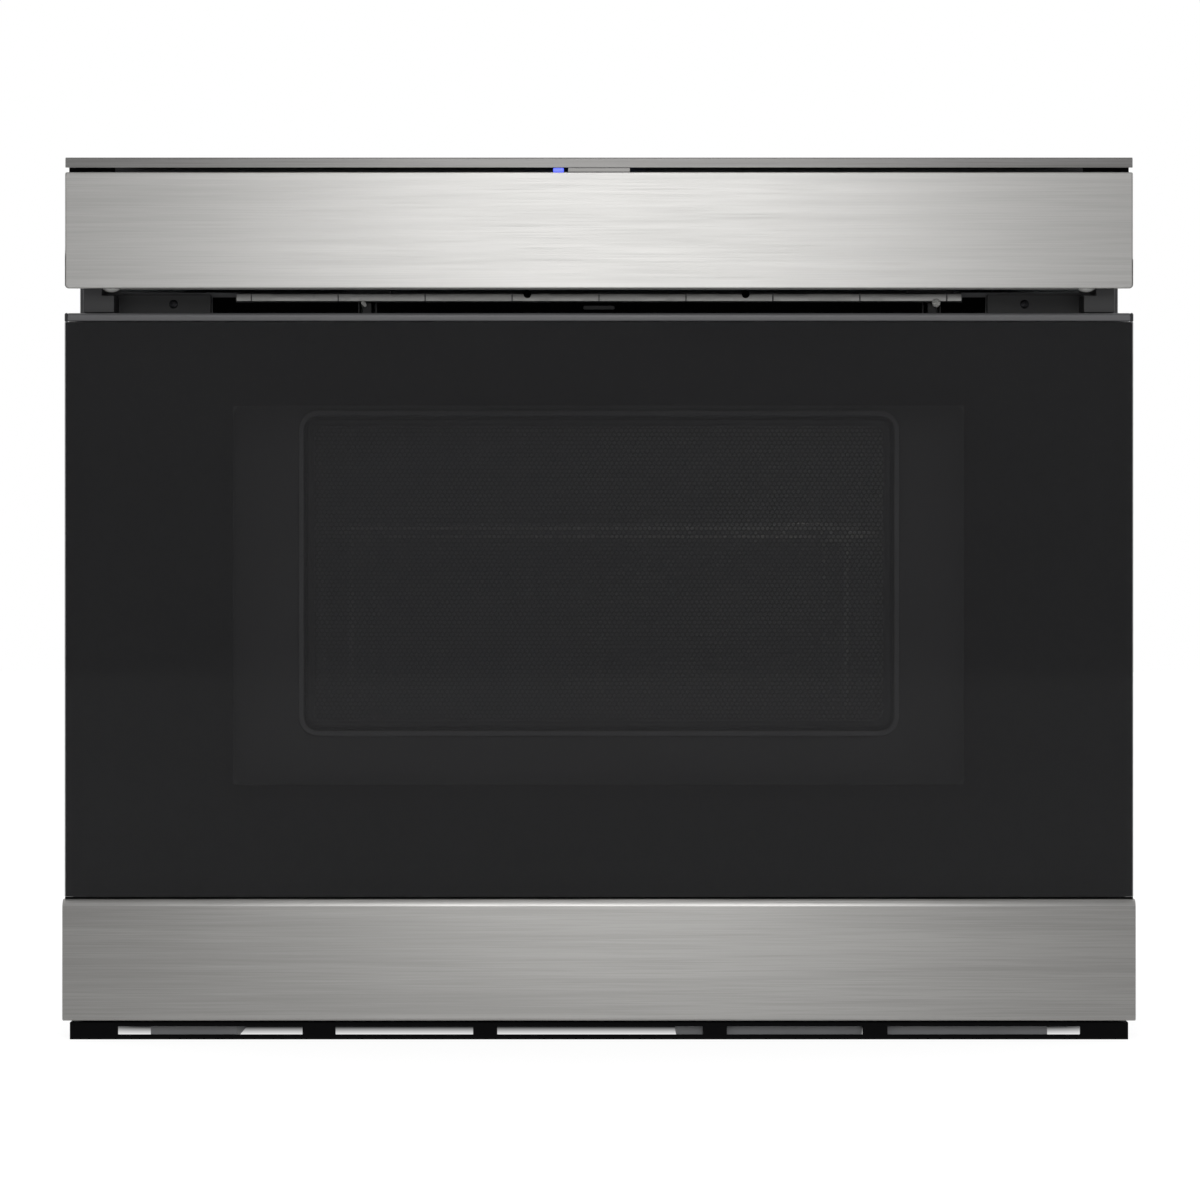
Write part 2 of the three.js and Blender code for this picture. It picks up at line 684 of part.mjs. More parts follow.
part("base_plate", basePlate(), "galvanised");
for (const [name, range] of Object.entries(runners)) part(`runner_${name}`, runner(range), "darkSteel");
part("bottom_vent_grille", ventGrille(), "blackPlastic");
part("front_frame", frontFrame(), "darkSteel");
part("top_trim", topTrim(), "brushed");
pair("hinge_bracket", hingeBracket(), "darkSteel");
pair("hinge_bush", hingeBush(), "nylon");
part("outer_wrapper", outerWrapper(), "galvanised");
part("back_panel", backPanel(), "galvanised");
part("cord_gland", cordGland(), "blackPlastic");

// ---- Oven cavity and what feeds it -----------------------------------------------------------

const STIRRER_RADIUS = 62;
const STIRRER_PORT = 70;
const CAVITY_CORNER = PAN_CORNER + 4;
const LAMP = { x: 130, y: panMiddle - 60, radius: 18, neck: 12, cap: 8, height: 38, port: 14 };

// An outline in (x, y), open or square at the front and rounded at the rear corners
function rearRounded(half, y0, y1, radius) {
  const shape = new THREE.Shape();
  shape.moveTo(-half, y0);
  shape.lineTo(half, y0);
  shape.lineTo(half, y1 - radius);
  shape.absarc(half - radius, y1 - radius, radius, 0, Math.PI / 2);
  shape.lineTo(-half + radius, y1);
  shape.absarc(-half + radius, y1 - radius, radius, Math.PI / 2, Math.PI);
  return shape;
}

function ovenCavity() {
  const outer = alongZ(
    rearRounded(cavityHalf, chassisFront, cavityBack, CAVITY_CORNER),
    [cavityBottom, cavityTop]
  );
  const inner = alongZ(
    rearRounded(cavityHalf - STEEL, chassisFront - 5, cavityBack - STEEL, CAVITY_CORNER - STEEL),
    [cavityBottom + STEEL, cavityTop - STEEL]
  );
  const floorZ = [cavityBottom - 1, cavityBottom + STEEL + 1];
  const floorPort = rod(STIRRER_PORT, "z", [0, panMiddle, 0], floorZ, 24);
  const fanPort = rod(FAN_PORT + 2, "y", [0, 0, fanHeight], [cavityBack - STEEL - 1, cavityBack + 1], 24);
  const lampPort = rod(LAMP.port, "z", [LAMP.x, LAMP.y, 0], [cavityTop - STEEL - 1, cavityTop + 1]);
  return without(outer.subtract(inner), [floorPort, fanPort, lampPort]);
}

const GRILLE_OVERLAP = 8; // of the grille's plate past the port
const GRILLE_SLOT_WIDTH = 4.4;
const GRILLE_RINGS = [
  { count: 8, inner: 10, outer: 24 },
  { count: 16, inner: 30, outer: 56 },
];

// Radial slots in a round plate behind the cavity's rear port
function fanGrille() {
  const span = [cavityBack + SEAT, cavityBack + SEAT + STEEL];
  const centre = [0, 0, fanHeight];
  const plate = rod(FAN_PORT + GRILLE_OVERLAP, "y", centre, span, 32);
  const slots = [];
  for (const { count, inner, outer } of GRILLE_RINGS) {
    for (let i = 0; i < count; i += 1) {
      const slotZ = [fanHeight + inner, fanHeight + outer];
      const slot = block(centred(GRILLE_SLOT_WIDTH), [span[0] - 1, span[1] + 1], slotZ);
      slots.push(rotated(slot, Y, (2 * Math.PI * i) / count, centre));
    }
  }
  return without(plate, slots);
}

const HOUSING_DEPTH = 50;
const housingFront = cavityBack + SEAT;
const housingBack = housingFront + HOUSING_DEPTH;
const HEATER_RADIUS = 78;
const HEATER_TUBE = 4;
const HEATER_SETBACK = 24;
const HEATER_MARGIN = 18; // from the element to the housing's side
const HOUSING_CORNER = 24;
const FAN_SHAFT = 4;
const SHAFT_PLAY = 2;
const TERMINAL_OFFSET = 12;
const TERMINAL_LENGTH = 12;
const heaterY = housingFront + HEATER_SETBACK;
const heaterTerminals = [-TERMINAL_OFFSET, TERMINAL_OFFSET];

function convectionHousing() {
  const size = 2 * (HEATER_RADIUS + HEATER_MARGIN);
  const pocketSize = size - 2 * STEEL;
  const outer = alongY(
    roundedRect(centred(size), about(fanHeight, size), HOUSING_CORNER),
    [housingFront, housingBack]
  );
  const pocket = alongY(
    roundedRect(centred(pocketSize), about(fanHeight, pocketSize), HOUSING_CORNER - STEEL),
    [housingFront - 1, housingBack - STEEL]
  );
  const through = [housingBack - STEEL - 1, housingBack + 1];
  const shaftHole = rod(FAN_SHAFT + SHAFT_PLAY, "y", [0, 0, fanHeight], through);
  const terminalHoles = heaterTerminals.map((x) =>
    rod(HEATER_TUBE + NEST, "y", [x, 0, fanHeight + HEATER_RADIUS], through)
  );
  return without(outer.subtract(pocket), [shaftHole, ...terminalHoles]);
}

function heaterRing() {
  const sides = 6;
  const section = Array.from({ length: sides + 1 }, (_, i) => {
    const angle = (2 * Math.PI * (i % sides)) / sides;
    return [HEATER_RADIUS + HEATER_TUBE * Math.cos(angle), heaterY + HEATER_TUBE * Math.sin(angle)];
  });
  const loop = turned(section, "y", [0, 0, fanHeight], 28);
  const terminals = heaterTerminals.map((x) =>
    rod(HEATER_TUBE, "y", [x, 0, fanHeight + HEATER_RADIUS], [heaterY, housingBack + TERMINAL_LENGTH], 8)
  );
  return union([loop, ...terminals]);
}

const ROTOR = {
  radius: 60,
  disc: 2,
  rear: 6, // clearance behind the disc
  hub: 14,
  hubStep: 2,
  blades: 10,
  bladeDepth: 18,
  bladeInner: 24,
  bladeOuter: 58,
  steel: 1.6,
};
const SHAFT_REACH = 14; // of the fan's shaft behind the housing

function convectionFan() {
  const discBack = housingBack - STEEL - ROTOR.rear;
  const discFront = discBack - ROTOR.disc;
  const bladeFront = discFront - ROTOR.bladeDepth;
  const bladeZ = [fanHeight + ROTOR.bladeInner, fanHeight + ROTOR.bladeOuter];
  const centre = [0, 0, fanHeight];
  const disc = rod(ROTOR.radius, "y", centre, [discFront, discBack], 28);
  const hub = rod(ROTOR.hub, "y", centre, [bladeFront + ROTOR.hubStep, discBack], 18);
  const shaft = rod(FAN_SHAFT, "y", centre, [discBack - 1, housingBack + SHAFT_REACH], 12);
  const blades = Array.from({ length: ROTOR.blades }, (_, i) => {
    const blade = block(centred(ROTOR.steel), [bladeFront, discFront + 0.5], bladeZ);
    return rotated(blade, Y, (2 * Math.PI * i) / ROTOR.blades, centre);
  });
  return union([disc, hub, shaft, ...blades]);
}

const FAN_MOTOR = { radius: 32, length: 38, tail: 14, tailLength: 10, flange: 84, flangeHeight: 30 };
const MOTOR_FLANGE = 2;

function convectionMotor() {
  const { radius, length, tail, tailLength, flange, flangeHeight } = FAN_MOTOR;
  const centre = [0, 0, fanHeight];
  const start = housingBack + SEAT;
  const ears = block(centred(flange), [start, start + MOTOR_FLANGE], about(fanHeight, flangeHeight));
  const can = rod(radius, "y", centre, [start, start + length], 20);
  const cap = rod(tail, "y", centre, [start + length - 1, start + length + tailLength], 12);
  const bore = rod(FAN_SHAFT + NEST, "y", centre, [start - 1, housingBack + SHAFT_REACH + SHAFT_PLAY]);
  return union([ears, can, cap]).subtract(bore);
}

const guideTop = cavityBottom - SEAT;
const WAVEGUIDE = { start: 20, width: 90, height: 37.4, wall: 1.5, margin: 3 };
const GUIDE_STEP = 11.5; // of the guide's end, in from the cavity's side
const guideEnd = cavityHalf - GUIDE_STEP;
const guideBottom = guideTop - WAVEGUIDE.height;
const MAGNETRON_STEP = 59.2; // in from the guide's end
const magnetronX = guideEnd - MAGNETRON_STEP;
const ANTENNA_RADIUS = 8;
const ANTENNA_REACH = 22; // above the guide's underside
const STIRRER_SHAFT = 3;
const STIRRER_REACH = 12; // of its shaft below the guide
const HOLE_PLAY = 1;

// Round chamber under the cavity's floor port, fed from the right by a box guide
function waveguide() {
  const { start, width, wall, margin } = WAVEGUIDE;
  const centre = [0, panMiddle, 0];
  const drum = rod(STIRRER_PORT + margin + wall, "z", centre, [guideBottom, guideTop], 28);
  const duct = block([start, guideEnd], about(panMiddle, width), [guideBottom, guideTop]);
  const drumSpace = rod(STIRRER_PORT + margin, "z", centre, [guideBottom + wall, guideTop + 1], 28);
  const ductSpace = block(
    [start, guideEnd - wall],
    about(panMiddle, width - 2 * wall),
    [guideBottom + wall, guideTop - wall]
  );
  const through = [guideBottom - 1, guideBottom + wall + 1];
  const shaftHole = rod(STIRRER_SHAFT + HOLE_PLAY, "z", centre, through);
  const antennaHole = rod(ANTENNA_RADIUS + HOLE_PLAY, "z", [magnetronX, panMiddle, 0], through, 16);
  return without(drum.add(duct), [drumSpace, ductSpace, shaftHole, antennaHole]);
}

const STIRRER = { blades: 4, width: 26, steel: 1.6, hub: 12, boss: 3, drop: 10 };

function stirrerAntenna() {
  const centre = [0, panMiddle, 0];
  const level = guideTop - STIRRER.drop;
  const bladeZ = [level, level + STIRRER.steel];
  const blades = Array.from({ length: STIRRER.blades }, (_, i) => {
    const blade = block([STIRRER.hub - 1, STIRRER_RADIUS], about(panMiddle, STIRRER.width), bladeZ);
    return rotated(blade, Z, (2 * Math.PI * i) / STIRRER.blades, centre);
  });
  const hub = rod(STIRRER.hub, "z", centre, [level - STIRRER.boss, bladeZ[1]], 18);
  const shaft = rod(STIRRER_SHAFT, "z", centre, [guideBottom - STIRRER_REACH, level], 12);
  return union([hub, shaft, ...blades]);
}

const TURN_MOTOR = { radius: 24, height: 20, ears: 66, earWidth: 10, earSteel: 1.5 };

function stirrerMotor() {
  const { radius, height, ears, earWidth, earSteel } = TURN_MOTOR;
  const centre = [0, panMiddle, 0];
  const start = guideBottom - SEAT;
  const can = rod(radius, "z", centre, [start - height, start], 24);
  const strip = block(centred(ears), about(panMiddle, earWidth), [start - earSteel, start]);
  const bore = rod(STIRRER_SHAFT + NEST, "z", centre, [start - STIRRER_REACH - SHAFT_PLAY, start + 1]);
  return can.add(strip).subtract(bore);
}

const YOKE = { width: 78, depth: 66, height: 62, steel: 2 };
const ANODE = { radius: 19, fins: 6, finPitch: 8, firstFin: 12, finSteel: 1, finMargin: 1, finStep: 4 };
const FILTER = { size: 50, height: 22 };

// Anode block inside a stack of cooling fins and a yoke, with its antenna up in the guide
function magnetron() {
  const centre = [magnetronX, panMiddle, 0];
  const yokeTop = guideBottom - SEAT;
  const yokeZ = [yokeTop - YOKE.height, yokeTop];
  const yokeX = about(magnetronX, YOKE.width);
  const yokeY = about(panMiddle, YOKE.depth);
  const yoke = block(yokeX, yokeY, yokeZ).subtract(
    block(inset(yokeX, YOKE.steel), [yokeY[0] - 1, yokeY[1] + 1], inset(yokeZ, YOKE.steel))
  );
  const anode = rod(ANODE.radius, "z", centre, inset(yokeZ, 1), 12);
  const fins = Array.from({ length: ANODE.fins }, (_, i) => {
    const level = yokeZ[0] + ANODE.firstFin + i * ANODE.finPitch;
    return block(inset(yokeX, ANODE.finMargin), inset(yokeY, ANODE.finStep), [level, level + ANODE.finSteel]);
  });
  const filterBox = block(
    about(magnetronX, FILTER.size),
    about(panMiddle, FILTER.size),
    [yokeZ[0] - FILTER.height, yokeZ[0] + 1]
  );
  const antenna = rod(ANTENNA_RADIUS, "z", centre, [yokeTop - 1, guideBottom + ANTENNA_REACH], 12);
  return union([yoke, anode, ...fins, filterBox, antenna]);
}

const TRANSFORMER = {
  x: -108,
  setback: 92, // of its middle from the back panel
  width: 104,
  height: 88,
  stack: 66,
  foot: 2,
  footReach: 12,
  coilStep: 17, // in from the core's sides
  coilReach: 16, // out of the stack
  coilHeight: 22.9,
  coilOffset: 17.6, // from the core's middle height
};

// Laminated core with a window each side of the centre limb, filled by two coils
function transformer() {
  const { x, setback, width, height, stack, foot, footReach } = TRANSFORMER;
  const { coilStep, coilReach, coilHeight, coilOffset } = TRANSFORMER;
  const y = BACK - setback;
  const bottom = baseTop + SEAT;
  const plate = block(about(x, width), about(y, height + 2 * footReach), [bottom, bottom + foot]);
  const core = block(about(x, width), about(y, stack), [bottom, bottom + height]);
  const coils = [-1, 1].map((side) =>
    block(
      about(x, width - 2 * coilStep),
      about(y, stack + 2 * coilReach),
      about(bottom + height / 2 + side * coilOffset, coilHeight)
    )
  );
  return union([plate, core, ...coils]);
}

const CAPACITOR = { x: 17, width: 34, height: 54, length: 90, setback: 30, lift: 2 };
const STRAP = { reach: 8, width: 14, steel: 4, setback: 70 };
const CAPACITOR_TERMINAL = { offset: 7, length: 12, width: 6, steel: 1 };

function capacitor() {
  const { x, width, height, length, setback, lift } = CAPACITOR;
  const bottom = baseTop + SEAT;
  const canY = [BACK - setback - length, BACK - setback];
  const canZ = [bottom + lift, bottom + lift + height];
  const can = alongY(roundedRect(about(x, width), canZ, width / 2 - 0.1), canY);
  const strapY = [BACK - STRAP.setback - STRAP.width, BACK - STRAP.setback];
  const strap = block(about(x, width + 2 * STRAP.reach), strapY, [bottom, bottom + STRAP.steel]);
  const terminals = [-1, 1].map((side) =>
    block(
      about(x + side * CAPACITOR_TERMINAL.offset, CAPACITOR_TERMINAL.steel),
      [canY[0] - CAPACITOR_TERMINAL.length, canY[0] + 1],
      about((canZ[0] + canZ[1]) / 2, CAPACITOR_TERMINAL.width)
    )
  );
  return union([can, strap, ...terminals]);
}

const FAN_FRAME = { steps: 24, motor: 14, motorDepth: 9, strut: 3, struts: 3 };

function coolingFanFrame() {
  const { x, z, radius, play, frame, corner, depth } = COOLING_FAN;
  const span = [chassisBack - depth, chassisBack];
  const body = alongY(roundedRect(about(x, frame), about(z, frame), corner), span);
  const throat = rod(radius + play, "y", [x, 0, z], [span[0] - 1, span[1] + 1], FAN_FRAME.steps);
  const motor = rod(FAN_FRAME.motor, "y", [x, 0, z], [span[0], span[0] + FAN_FRAME.motorDepth], 20);
  const struts = Array.from({ length: FAN_FRAME.struts }, (_, i) => {
    const strutZ = [z + FAN_FRAME.motor - 4, z + radius + play + 2];
    const arm = block(about(x, FAN_FRAME.strut), [span[0], span[0] + FAN_FRAME.strut], strutZ);
    return rotated(arm, Y, (2 * Math.PI * i) / FAN_FRAME.struts, [x, 0, z]);
  });
  return union([body.subtract(throat), motor, ...struts]);
}

const FAN_BLADE = { count: 7, chord: 22, wall: 1.4, pitch: THREE.MathUtils.degToRad(28) };

function coolingFan() {
  const { x, z, radius, play, depth, hub } = COOLING_FAN;
  const centre = [x, 0, z];
  const [from, to] = [chassisBack - depth + FAN_FRAME.motorDepth + NEST, chassisBack - play - 1];
  const middle = [x, (from + to) / 2, z];
  const blades = Array.from({ length: FAN_BLADE.count }, (_, i) => {
    const flat = block(
      about(x, FAN_BLADE.chord),
      about(middle[1], FAN_BLADE.wall),
      [z + hub - 2, z + radius - play]
    );
    const pitched = rotated(flat, Z, FAN_BLADE.pitch, middle);
    return rotated(pitched, Y, (2 * Math.PI * i) / FAN_BLADE.count, centre);
  });
  return union([rod(hub, "y", centre, [from, to], 20), ...blades]);
}

const BOARD = { x: [-190, -10], front: 60, back: 90, rise: 10, thickness: 1.6, post: 3, postInset: 6 };
const RELAY = { first: -170, count: 3, pitch: 30, width: 20, front: 50, back: 22, height: 17 };
const SINK = { x: [-84, -24], y: 4, wall: 8, height: 34, fins: 6, finPitch: 11, finWall: 2, finReach: 18 };
const LINE_CHOKE = { x: -150, y: 40, radius: 12, height: 16 };

// Relays, a finned heat sink and the line choke on a board that stands on the cavity's roof
function powerBoard() {
  const bottom = cavityTop + SEAT;
  const boardY = [panMiddle - BOARD.front, panMiddle + BOARD.back];
  const deck = [bottom + BOARD.rise, bottom + BOARD.rise + BOARD.thickness];
  const onDeck = (height) => [deck[1] - 0.5, deck[1] + height];
  const board = block(BOARD.x, boardY, deck);
  const posts = inset(BOARD.x, BOARD.postInset).flatMap((x) =>
    inset(boardY, BOARD.postInset).map((y) => rod(BOARD.post, "z", [x, y, 0], [bottom, deck[0] + 1], 8))
  );
  const relayY = [panMiddle - RELAY.front, panMiddle - RELAY.back];
  const relays = Array.from({ length: RELAY.count }, (_, i) => {
    const x = RELAY.first + i * RELAY.pitch;
    return block([x, x + RELAY.width], relayY, onDeck(RELAY.height));
  });
  const sinkY = [panMiddle + SINK.y, panMiddle + SINK.y + SINK.wall];
  const sink = block(SINK.x, sinkY, onDeck(SINK.height));
  const fins = Array.from({ length: SINK.fins }, (_, i) => {
    const x = SINK.x[0] + SINK.finWall + i * SINK.finPitch;
    return block([x, x + SINK.finWall], [sinkY[1] - 1, sinkY[1] + SINK.finReach], onDeck(SINK.height));
  });
  const lineChoke = rod(
    LINE_CHOKE.radius,
    "z",
    [LINE_CHOKE.x, panMiddle + LINE_CHOKE.y, 0],
    onDeck(LINE_CHOKE.height),
    18
  );
  return union([board, ...posts, ...relays, sink, ...fins, lineChoke]);
}

const LATCH_PLATE = { steel: 1.5, rise: 12, overhang: 27 };
const LATCH_BOX = { width: 26, depth: 34, wall: 4, play: 4, head: 2 };

// Two channels that the door's hooks enter, on one plate behind the frame
function interlockBracket() {
  const plate = block(
    [hooksX[0] - LATCH_PLATE.overhang, hooksX[1] + LATCH_PLATE.overhang],
    [chassisFront, chassisFront + LATCH_PLATE.steel],
    [cavityTop + LATCH_PLATE.rise, lipTop]
  );
  const boxes = hooksX.map((x) =>
    block(
      about(x, LATCH_BOX.width),
      [chassisFront, chassisFront + LATCH_BOX.depth],
      [hookBottom - LATCH_BOX.play - LATCH_BOX.wall, lipTop + LATCH_BOX.head]
    )
  );
  const channels = hooksX.map((x) =>
    block(
      about(x, HOOK_WIDTH + LATCH_BOX.play),
      [chassisFront - 1, chassisFront + LATCH_BOX.depth + 1],
      [hookBottom - LATCH_BOX.play, hookTop + LATCH_BOX.head]
    )
  );
  return without(union([plate, ...boxes]), channels);
}

// Ceramic holder with a stepped body over the lamp port
function ovenLamp() {
  const { radius, neck, cap, height } = LAMP;
  const bottom = cavityTop + SEAT;
  const profile = [
    [0, bottom],
    [radius, bottom],
    [radius, bottom + 3],
    [neck, bottom + 6],
    [neck, bottom + height - 4],
    [cap, bottom + height],
    [0, bottom + height],
  ];
  return turned(profile, "z", [LAMP.x, LAMP.y, 0], 20);
}

part("oven_cavity", ovenCavity(), "enamel");
part("fan_grille", fanGrille(), "enamel");
part("convection_housing", convectionHousing(), "galvanised");
part("heater_ring", heaterRing(), "darkSteel");
part("convection_fan", convectionFan(), "galvanised");
part("convection_motor", convectionMotor(), "darkSteel");
part("waveguide", waveguide(), "galvanised");
part("stirrer_antenna", stirrerAntenna(), "galvanised");
part("stirrer_motor", stirrerMotor(), "galvanised");
part("magnetron", magnetron(), "galvanised");
part("hv_transformer", transformer(), "copper");
part("hv_capacitor", capacitor(), "galvanised");
part("cooling_fan_frame", coolingFanFrame(), "blackPlastic");
part("cooling_fan", coolingFan(), "blackPlastic");
part("power_board", powerBoard(), "board");
part("interlock_bracket", interlockBracket(), "blackPlastic");
part("oven_lamp", ovenLamp(), "ceramic");

// ---- Rails -----------------------------------------------------------------------------------

const RAIL_SETBACK = 2; // behind the frame
const railFront = chassisFront + RAIL_SETBACK;
const railSpan = [railFront, railFront + railLength];

// A C section for the right side: web at webX, lips towards the centre (direction -1) or away (+1)
function channel(webX, half, lip, direction) {
  const [low, high] = [railCentre - half, railCentre + half];
  const tip = webX + direction * lip;
  const path = [[tip, low], [webX, low], [webX, high], [tip, high]];
  return folded(direction < 0 ? path : path.reverse(), RAIL_STEEL);
}

const midWebX = railOuterX - RAIL_STEEL - NEST;
const midHalf = railHalf - RAIL_STEEL - NEST;
const innerHalf = midHalf - RAIL_STEEL - NEST;
const INNER_LIP = RAIL_LIP - 2;
const innerWebX = midWebX - RAIL_STEEL - NEST - INNER_LIP;
const SUPPORT_STEEL = 1.5;
const SUPPORT_LAP = 8; // of its upper flange under the cavity
const SUPPORT_FOOT = 18;
const SUPPORT_EXCESS = 10; // behind the rail

// Outer rail riveted to a Z section that stands on the base plate and holds up the cavity
function outerRail() {
  const rail = alongY(channel(railOuterX, railHalf, RAIL_LIP, -1), railSpan);
  const [low, high] = [baseTop + SEAT, cavityBottom - SEAT - SUPPORT_STEEL];
  const webX = railOuterX - 0.1;
  const path = [[cavityHalf - SUPPORT_LAP, high], [webX, high], [webX, low], [webX + SUPPORT_FOOT, low]];
  return rail.add(alongY(folded(path, SUPPORT_STEEL), [railFront, railSpan[1] + SUPPORT_EXCESS]));
}

const bracketX = innerWebX - SEAT;
const BRACKET_STEEL = 1.5;
const BRACKET_FLANGE = 36;
const BRACKET_STEP = 3; // in from the inner rail's edges
const BRACKET_SHORTFALL = 30; // at the rail's rear end

// Inner rail with the drawer's side bracket, whose front flange is screwed to the door
function innerRail() {
  const rail = alongY(channel(innerWebX, innerHalf, INNER_LIP, 1), railSpan);
  const height = about(railCentre, 2 * (innerHalf - BRACKET_STEP));
  const webY = [doorBack, railSpan[1] - BRACKET_SHORTFALL];
  const web = block([bracketX - BRACKET_STEEL, innerWebX + 0.1], webY, height);
  const flange = block([bracketX - BRACKET_FLANGE, bracketX], [doorBack, doorBack + BRACKET_STEEL], height);
  return union([rail, web, flange]);
}

pair("rail_outer", outerRail(), "galvanised");
pair("rail_middle", alongY(channel(midWebX, midHalf, RAIL_LIP, -1), railSpan), "galvanised");
pair("rail_inner", innerRail(), "galvanised");

// ---- Rack and pinion drive -------------------------------------------------------------------

const SPARE_TEETH = 4;
const ROOT_DEPTH = 1.25; // of a tooth, in modules
const RACK_FLANGE = { width: 38, steel: 2.5, drop: 14 };
const rackTeeth = Math.ceil(travel / toothPitch) + SPARE_TEETH;
const gearSpan = about(RACK_X, GEAR_WIDTH);

// Straight-sided teeth on the underside, with a gap over the pinion's centre when closed
function driveRack() {
  const halfPitch = toothPitch / 4 - BACKLASH / 2;
  const slope = Math.tan(PRESSURE);
  const rootDepth = ROOT_DEPTH * MODULE;
  const [tip, root] = [pitchLevel - MODULE, pitchLevel + rootDepth];
  const [halfTip, halfRoot] = [halfPitch - MODULE * slope, halfPitch + rootDepth * slope];
  const firstTooth = pinionY - 1.5 * toothPitch;
  const backEnd = firstTooth + (rackTeeth - 0.5) * toothPitch;
  const outline = [[doorBack, root]];
  for (let i = 0; i < rackTeeth; i += 1) {
    const y = firstTooth + i * toothPitch;
    outline.push([y - halfRoot, root], [y - halfTip, tip], [y + halfTip, tip], [y + halfRoot, root]);
  }
  outline.push([backEnd, root], [backEnd, pitchLevel + RACK_BACK], [doorBack, pitchLevel + RACK_BACK]);
  const bar = alongX(polygon(outline), gearSpan);
  const flange = block(
    about(RACK_X, RACK_FLANGE.width),
    [doorBack, doorBack + RACK_FLANGE.steel],
    [pitchLevel - RACK_FLANGE.drop, pitchLevel + RACK_BACK]
  );
  return bar.add(flange);
}

// Involute teeth, one of them pointing straight up into the rack's gap
function gearOutline() {
  const base = pinionRadius * Math.cos(PRESSURE);
  const [root, tip] = [pinionRadius - ROOT_DEPTH * MODULE, pinionRadius + MODULE];
  const involute = (angle) => Math.tan(angle) - angle;
  const halfAtPitch = Math.PI / 2 / PINION_TEETH - BACKLASH / 2 / pinionRadius;
  const halfAngle = (radius) => {
    const angle = Math.acos(Math.min(1, base / radius));
    return halfAtPitch + involute(PRESSURE) - involute(angle);
  };
  const radii = [root, base, pinionRadius, tip];
  const outline = [];
  for (let i = 0; i < PINION_TEETH; i += 1) {
    const middle = Math.PI / 2 + (2 * Math.PI * i) / PINION_TEETH;
    const flank = (radius, side) => {
      const angle = middle + side * halfAngle(radius);
      return [pinionY + radius * Math.cos(angle), pinionZ + radius * Math.sin(angle)];
    };
    outline.push(...radii.map((radius) => flank(radius, -1)));
    outline.push(...radii.toReversed().map((radius) => flank(radius, 1)));
  }
  return polygon(outline);
}

const PINION_SHAFT = 4;
const PINION_HUB = 9;
const PINION_REACH = 14; // of its shaft into the gearbox
const GEARBOX = { gap: 3, width: 26, length: 62, height: 44, offset: 8 };
const DRIVE_CAN = { radius: 17, length: 53, offset: 20 };
const DRIVE_STAND = { length: 50, reach: 30, steel: 2 };
const gearboxX = gearSpan[1] + GEARBOX.gap;

function drivePinion() {
  const centre = [0, pinionY, pinionZ];
  const gear = alongX(gearOutline(), gearSpan);
  const hub = rod(PINION_HUB, "x", centre, [gearSpan[1] - 1, gearboxX - 1], 18);
  const shaft = rod(PINION_SHAFT, "x", centre, [gearSpan[0] - 2, gearboxX + PINION_REACH], 14);
  return union([gear, hub, shaft]);
}

function driveMotor() {
  const centre = [0, pinionY, pinionZ];
  const bottom = baseTop + SEAT;
  const gearboxY = pinionY + GEARBOX.offset;
  const gearboxEnd = gearboxX + GEARBOX.width;
  const standY = about(gearboxY, DRIVE_STAND.length);
  const gearbox = block(
    [gearboxX, gearboxEnd],
    about(gearboxY, GEARBOX.length),
    about(pinionZ, GEARBOX.height)
  );
  const can = rod(
    DRIVE_CAN.radius,
    "x",
    [0, pinionY + DRIVE_CAN.offset, pinionZ],
    [gearboxEnd - 1, gearboxEnd - 1 + DRIVE_CAN.length],
    24
  );
  const standZ = [bottom, pinionZ - GEARBOX.height / 2 + 1];
  const stand = block([gearboxX, gearboxX + DRIVE_STAND.steel], standY, standZ);
  const foot = block([gearboxX, gearboxX + DRIVE_STAND.reach], standY, [bottom, bottom + DRIVE_STAND.steel]);
  const bore = rod(PINION_SHAFT + NEST, "x", centre, [gearboxX - 1, gearboxX + PINION_REACH + SHAFT_PLAY]);
  return union([gearbox, can, stand, foot]).subtract(bore);
}

const GUIDE = { before: 18, behind: 22, wall: 4, grip: 5 };

// Holds the rack down on the pinion from under the cavity's floor
function rackGuide() {
  const bottom = pitchLevel + RACK_BACK - GUIDE.grip;
  const length = [pinionY - GUIDE.before, pinionY + GUIDE.behind];
  const body = block(about(RACK_X, GEAR_WIDTH + 2 * GUIDE.wall), length, [bottom, cavityBottom - SEAT]);
  const groove = block(
    about(RACK_X, GEAR_WIDTH + 2 * NEST),
    [length[0] - 1, length[1] + 1],
    [bottom - 1, pitchLevel + RACK_BACK + NEST]
  );
  return body.subtract(groove);
}

part("drive_rack", driveRack(), "nylon");
part("drive_pinion", drivePinion(), "nylon");
part("drive_motor", driveMotor(), "darkSteel");
part("rack_guide", rackGuide(), "nylon");

// ---- Door ------------------------------------------------------------------------------------

const GLASS_CORNER = 2;

function outerGlass() {
  return alongY(
    roundedRect(centred(glassWidth), [glassBottom, glassTop], GLASS_CORNER),
    [glassFront, glassFront + GLASS_THICKNESS]
  );
}

const BAND_BEVEL = 3;
const trayBottom = bandBottom + STAINLESS + SEAT;

const BAND_HEM = 8;

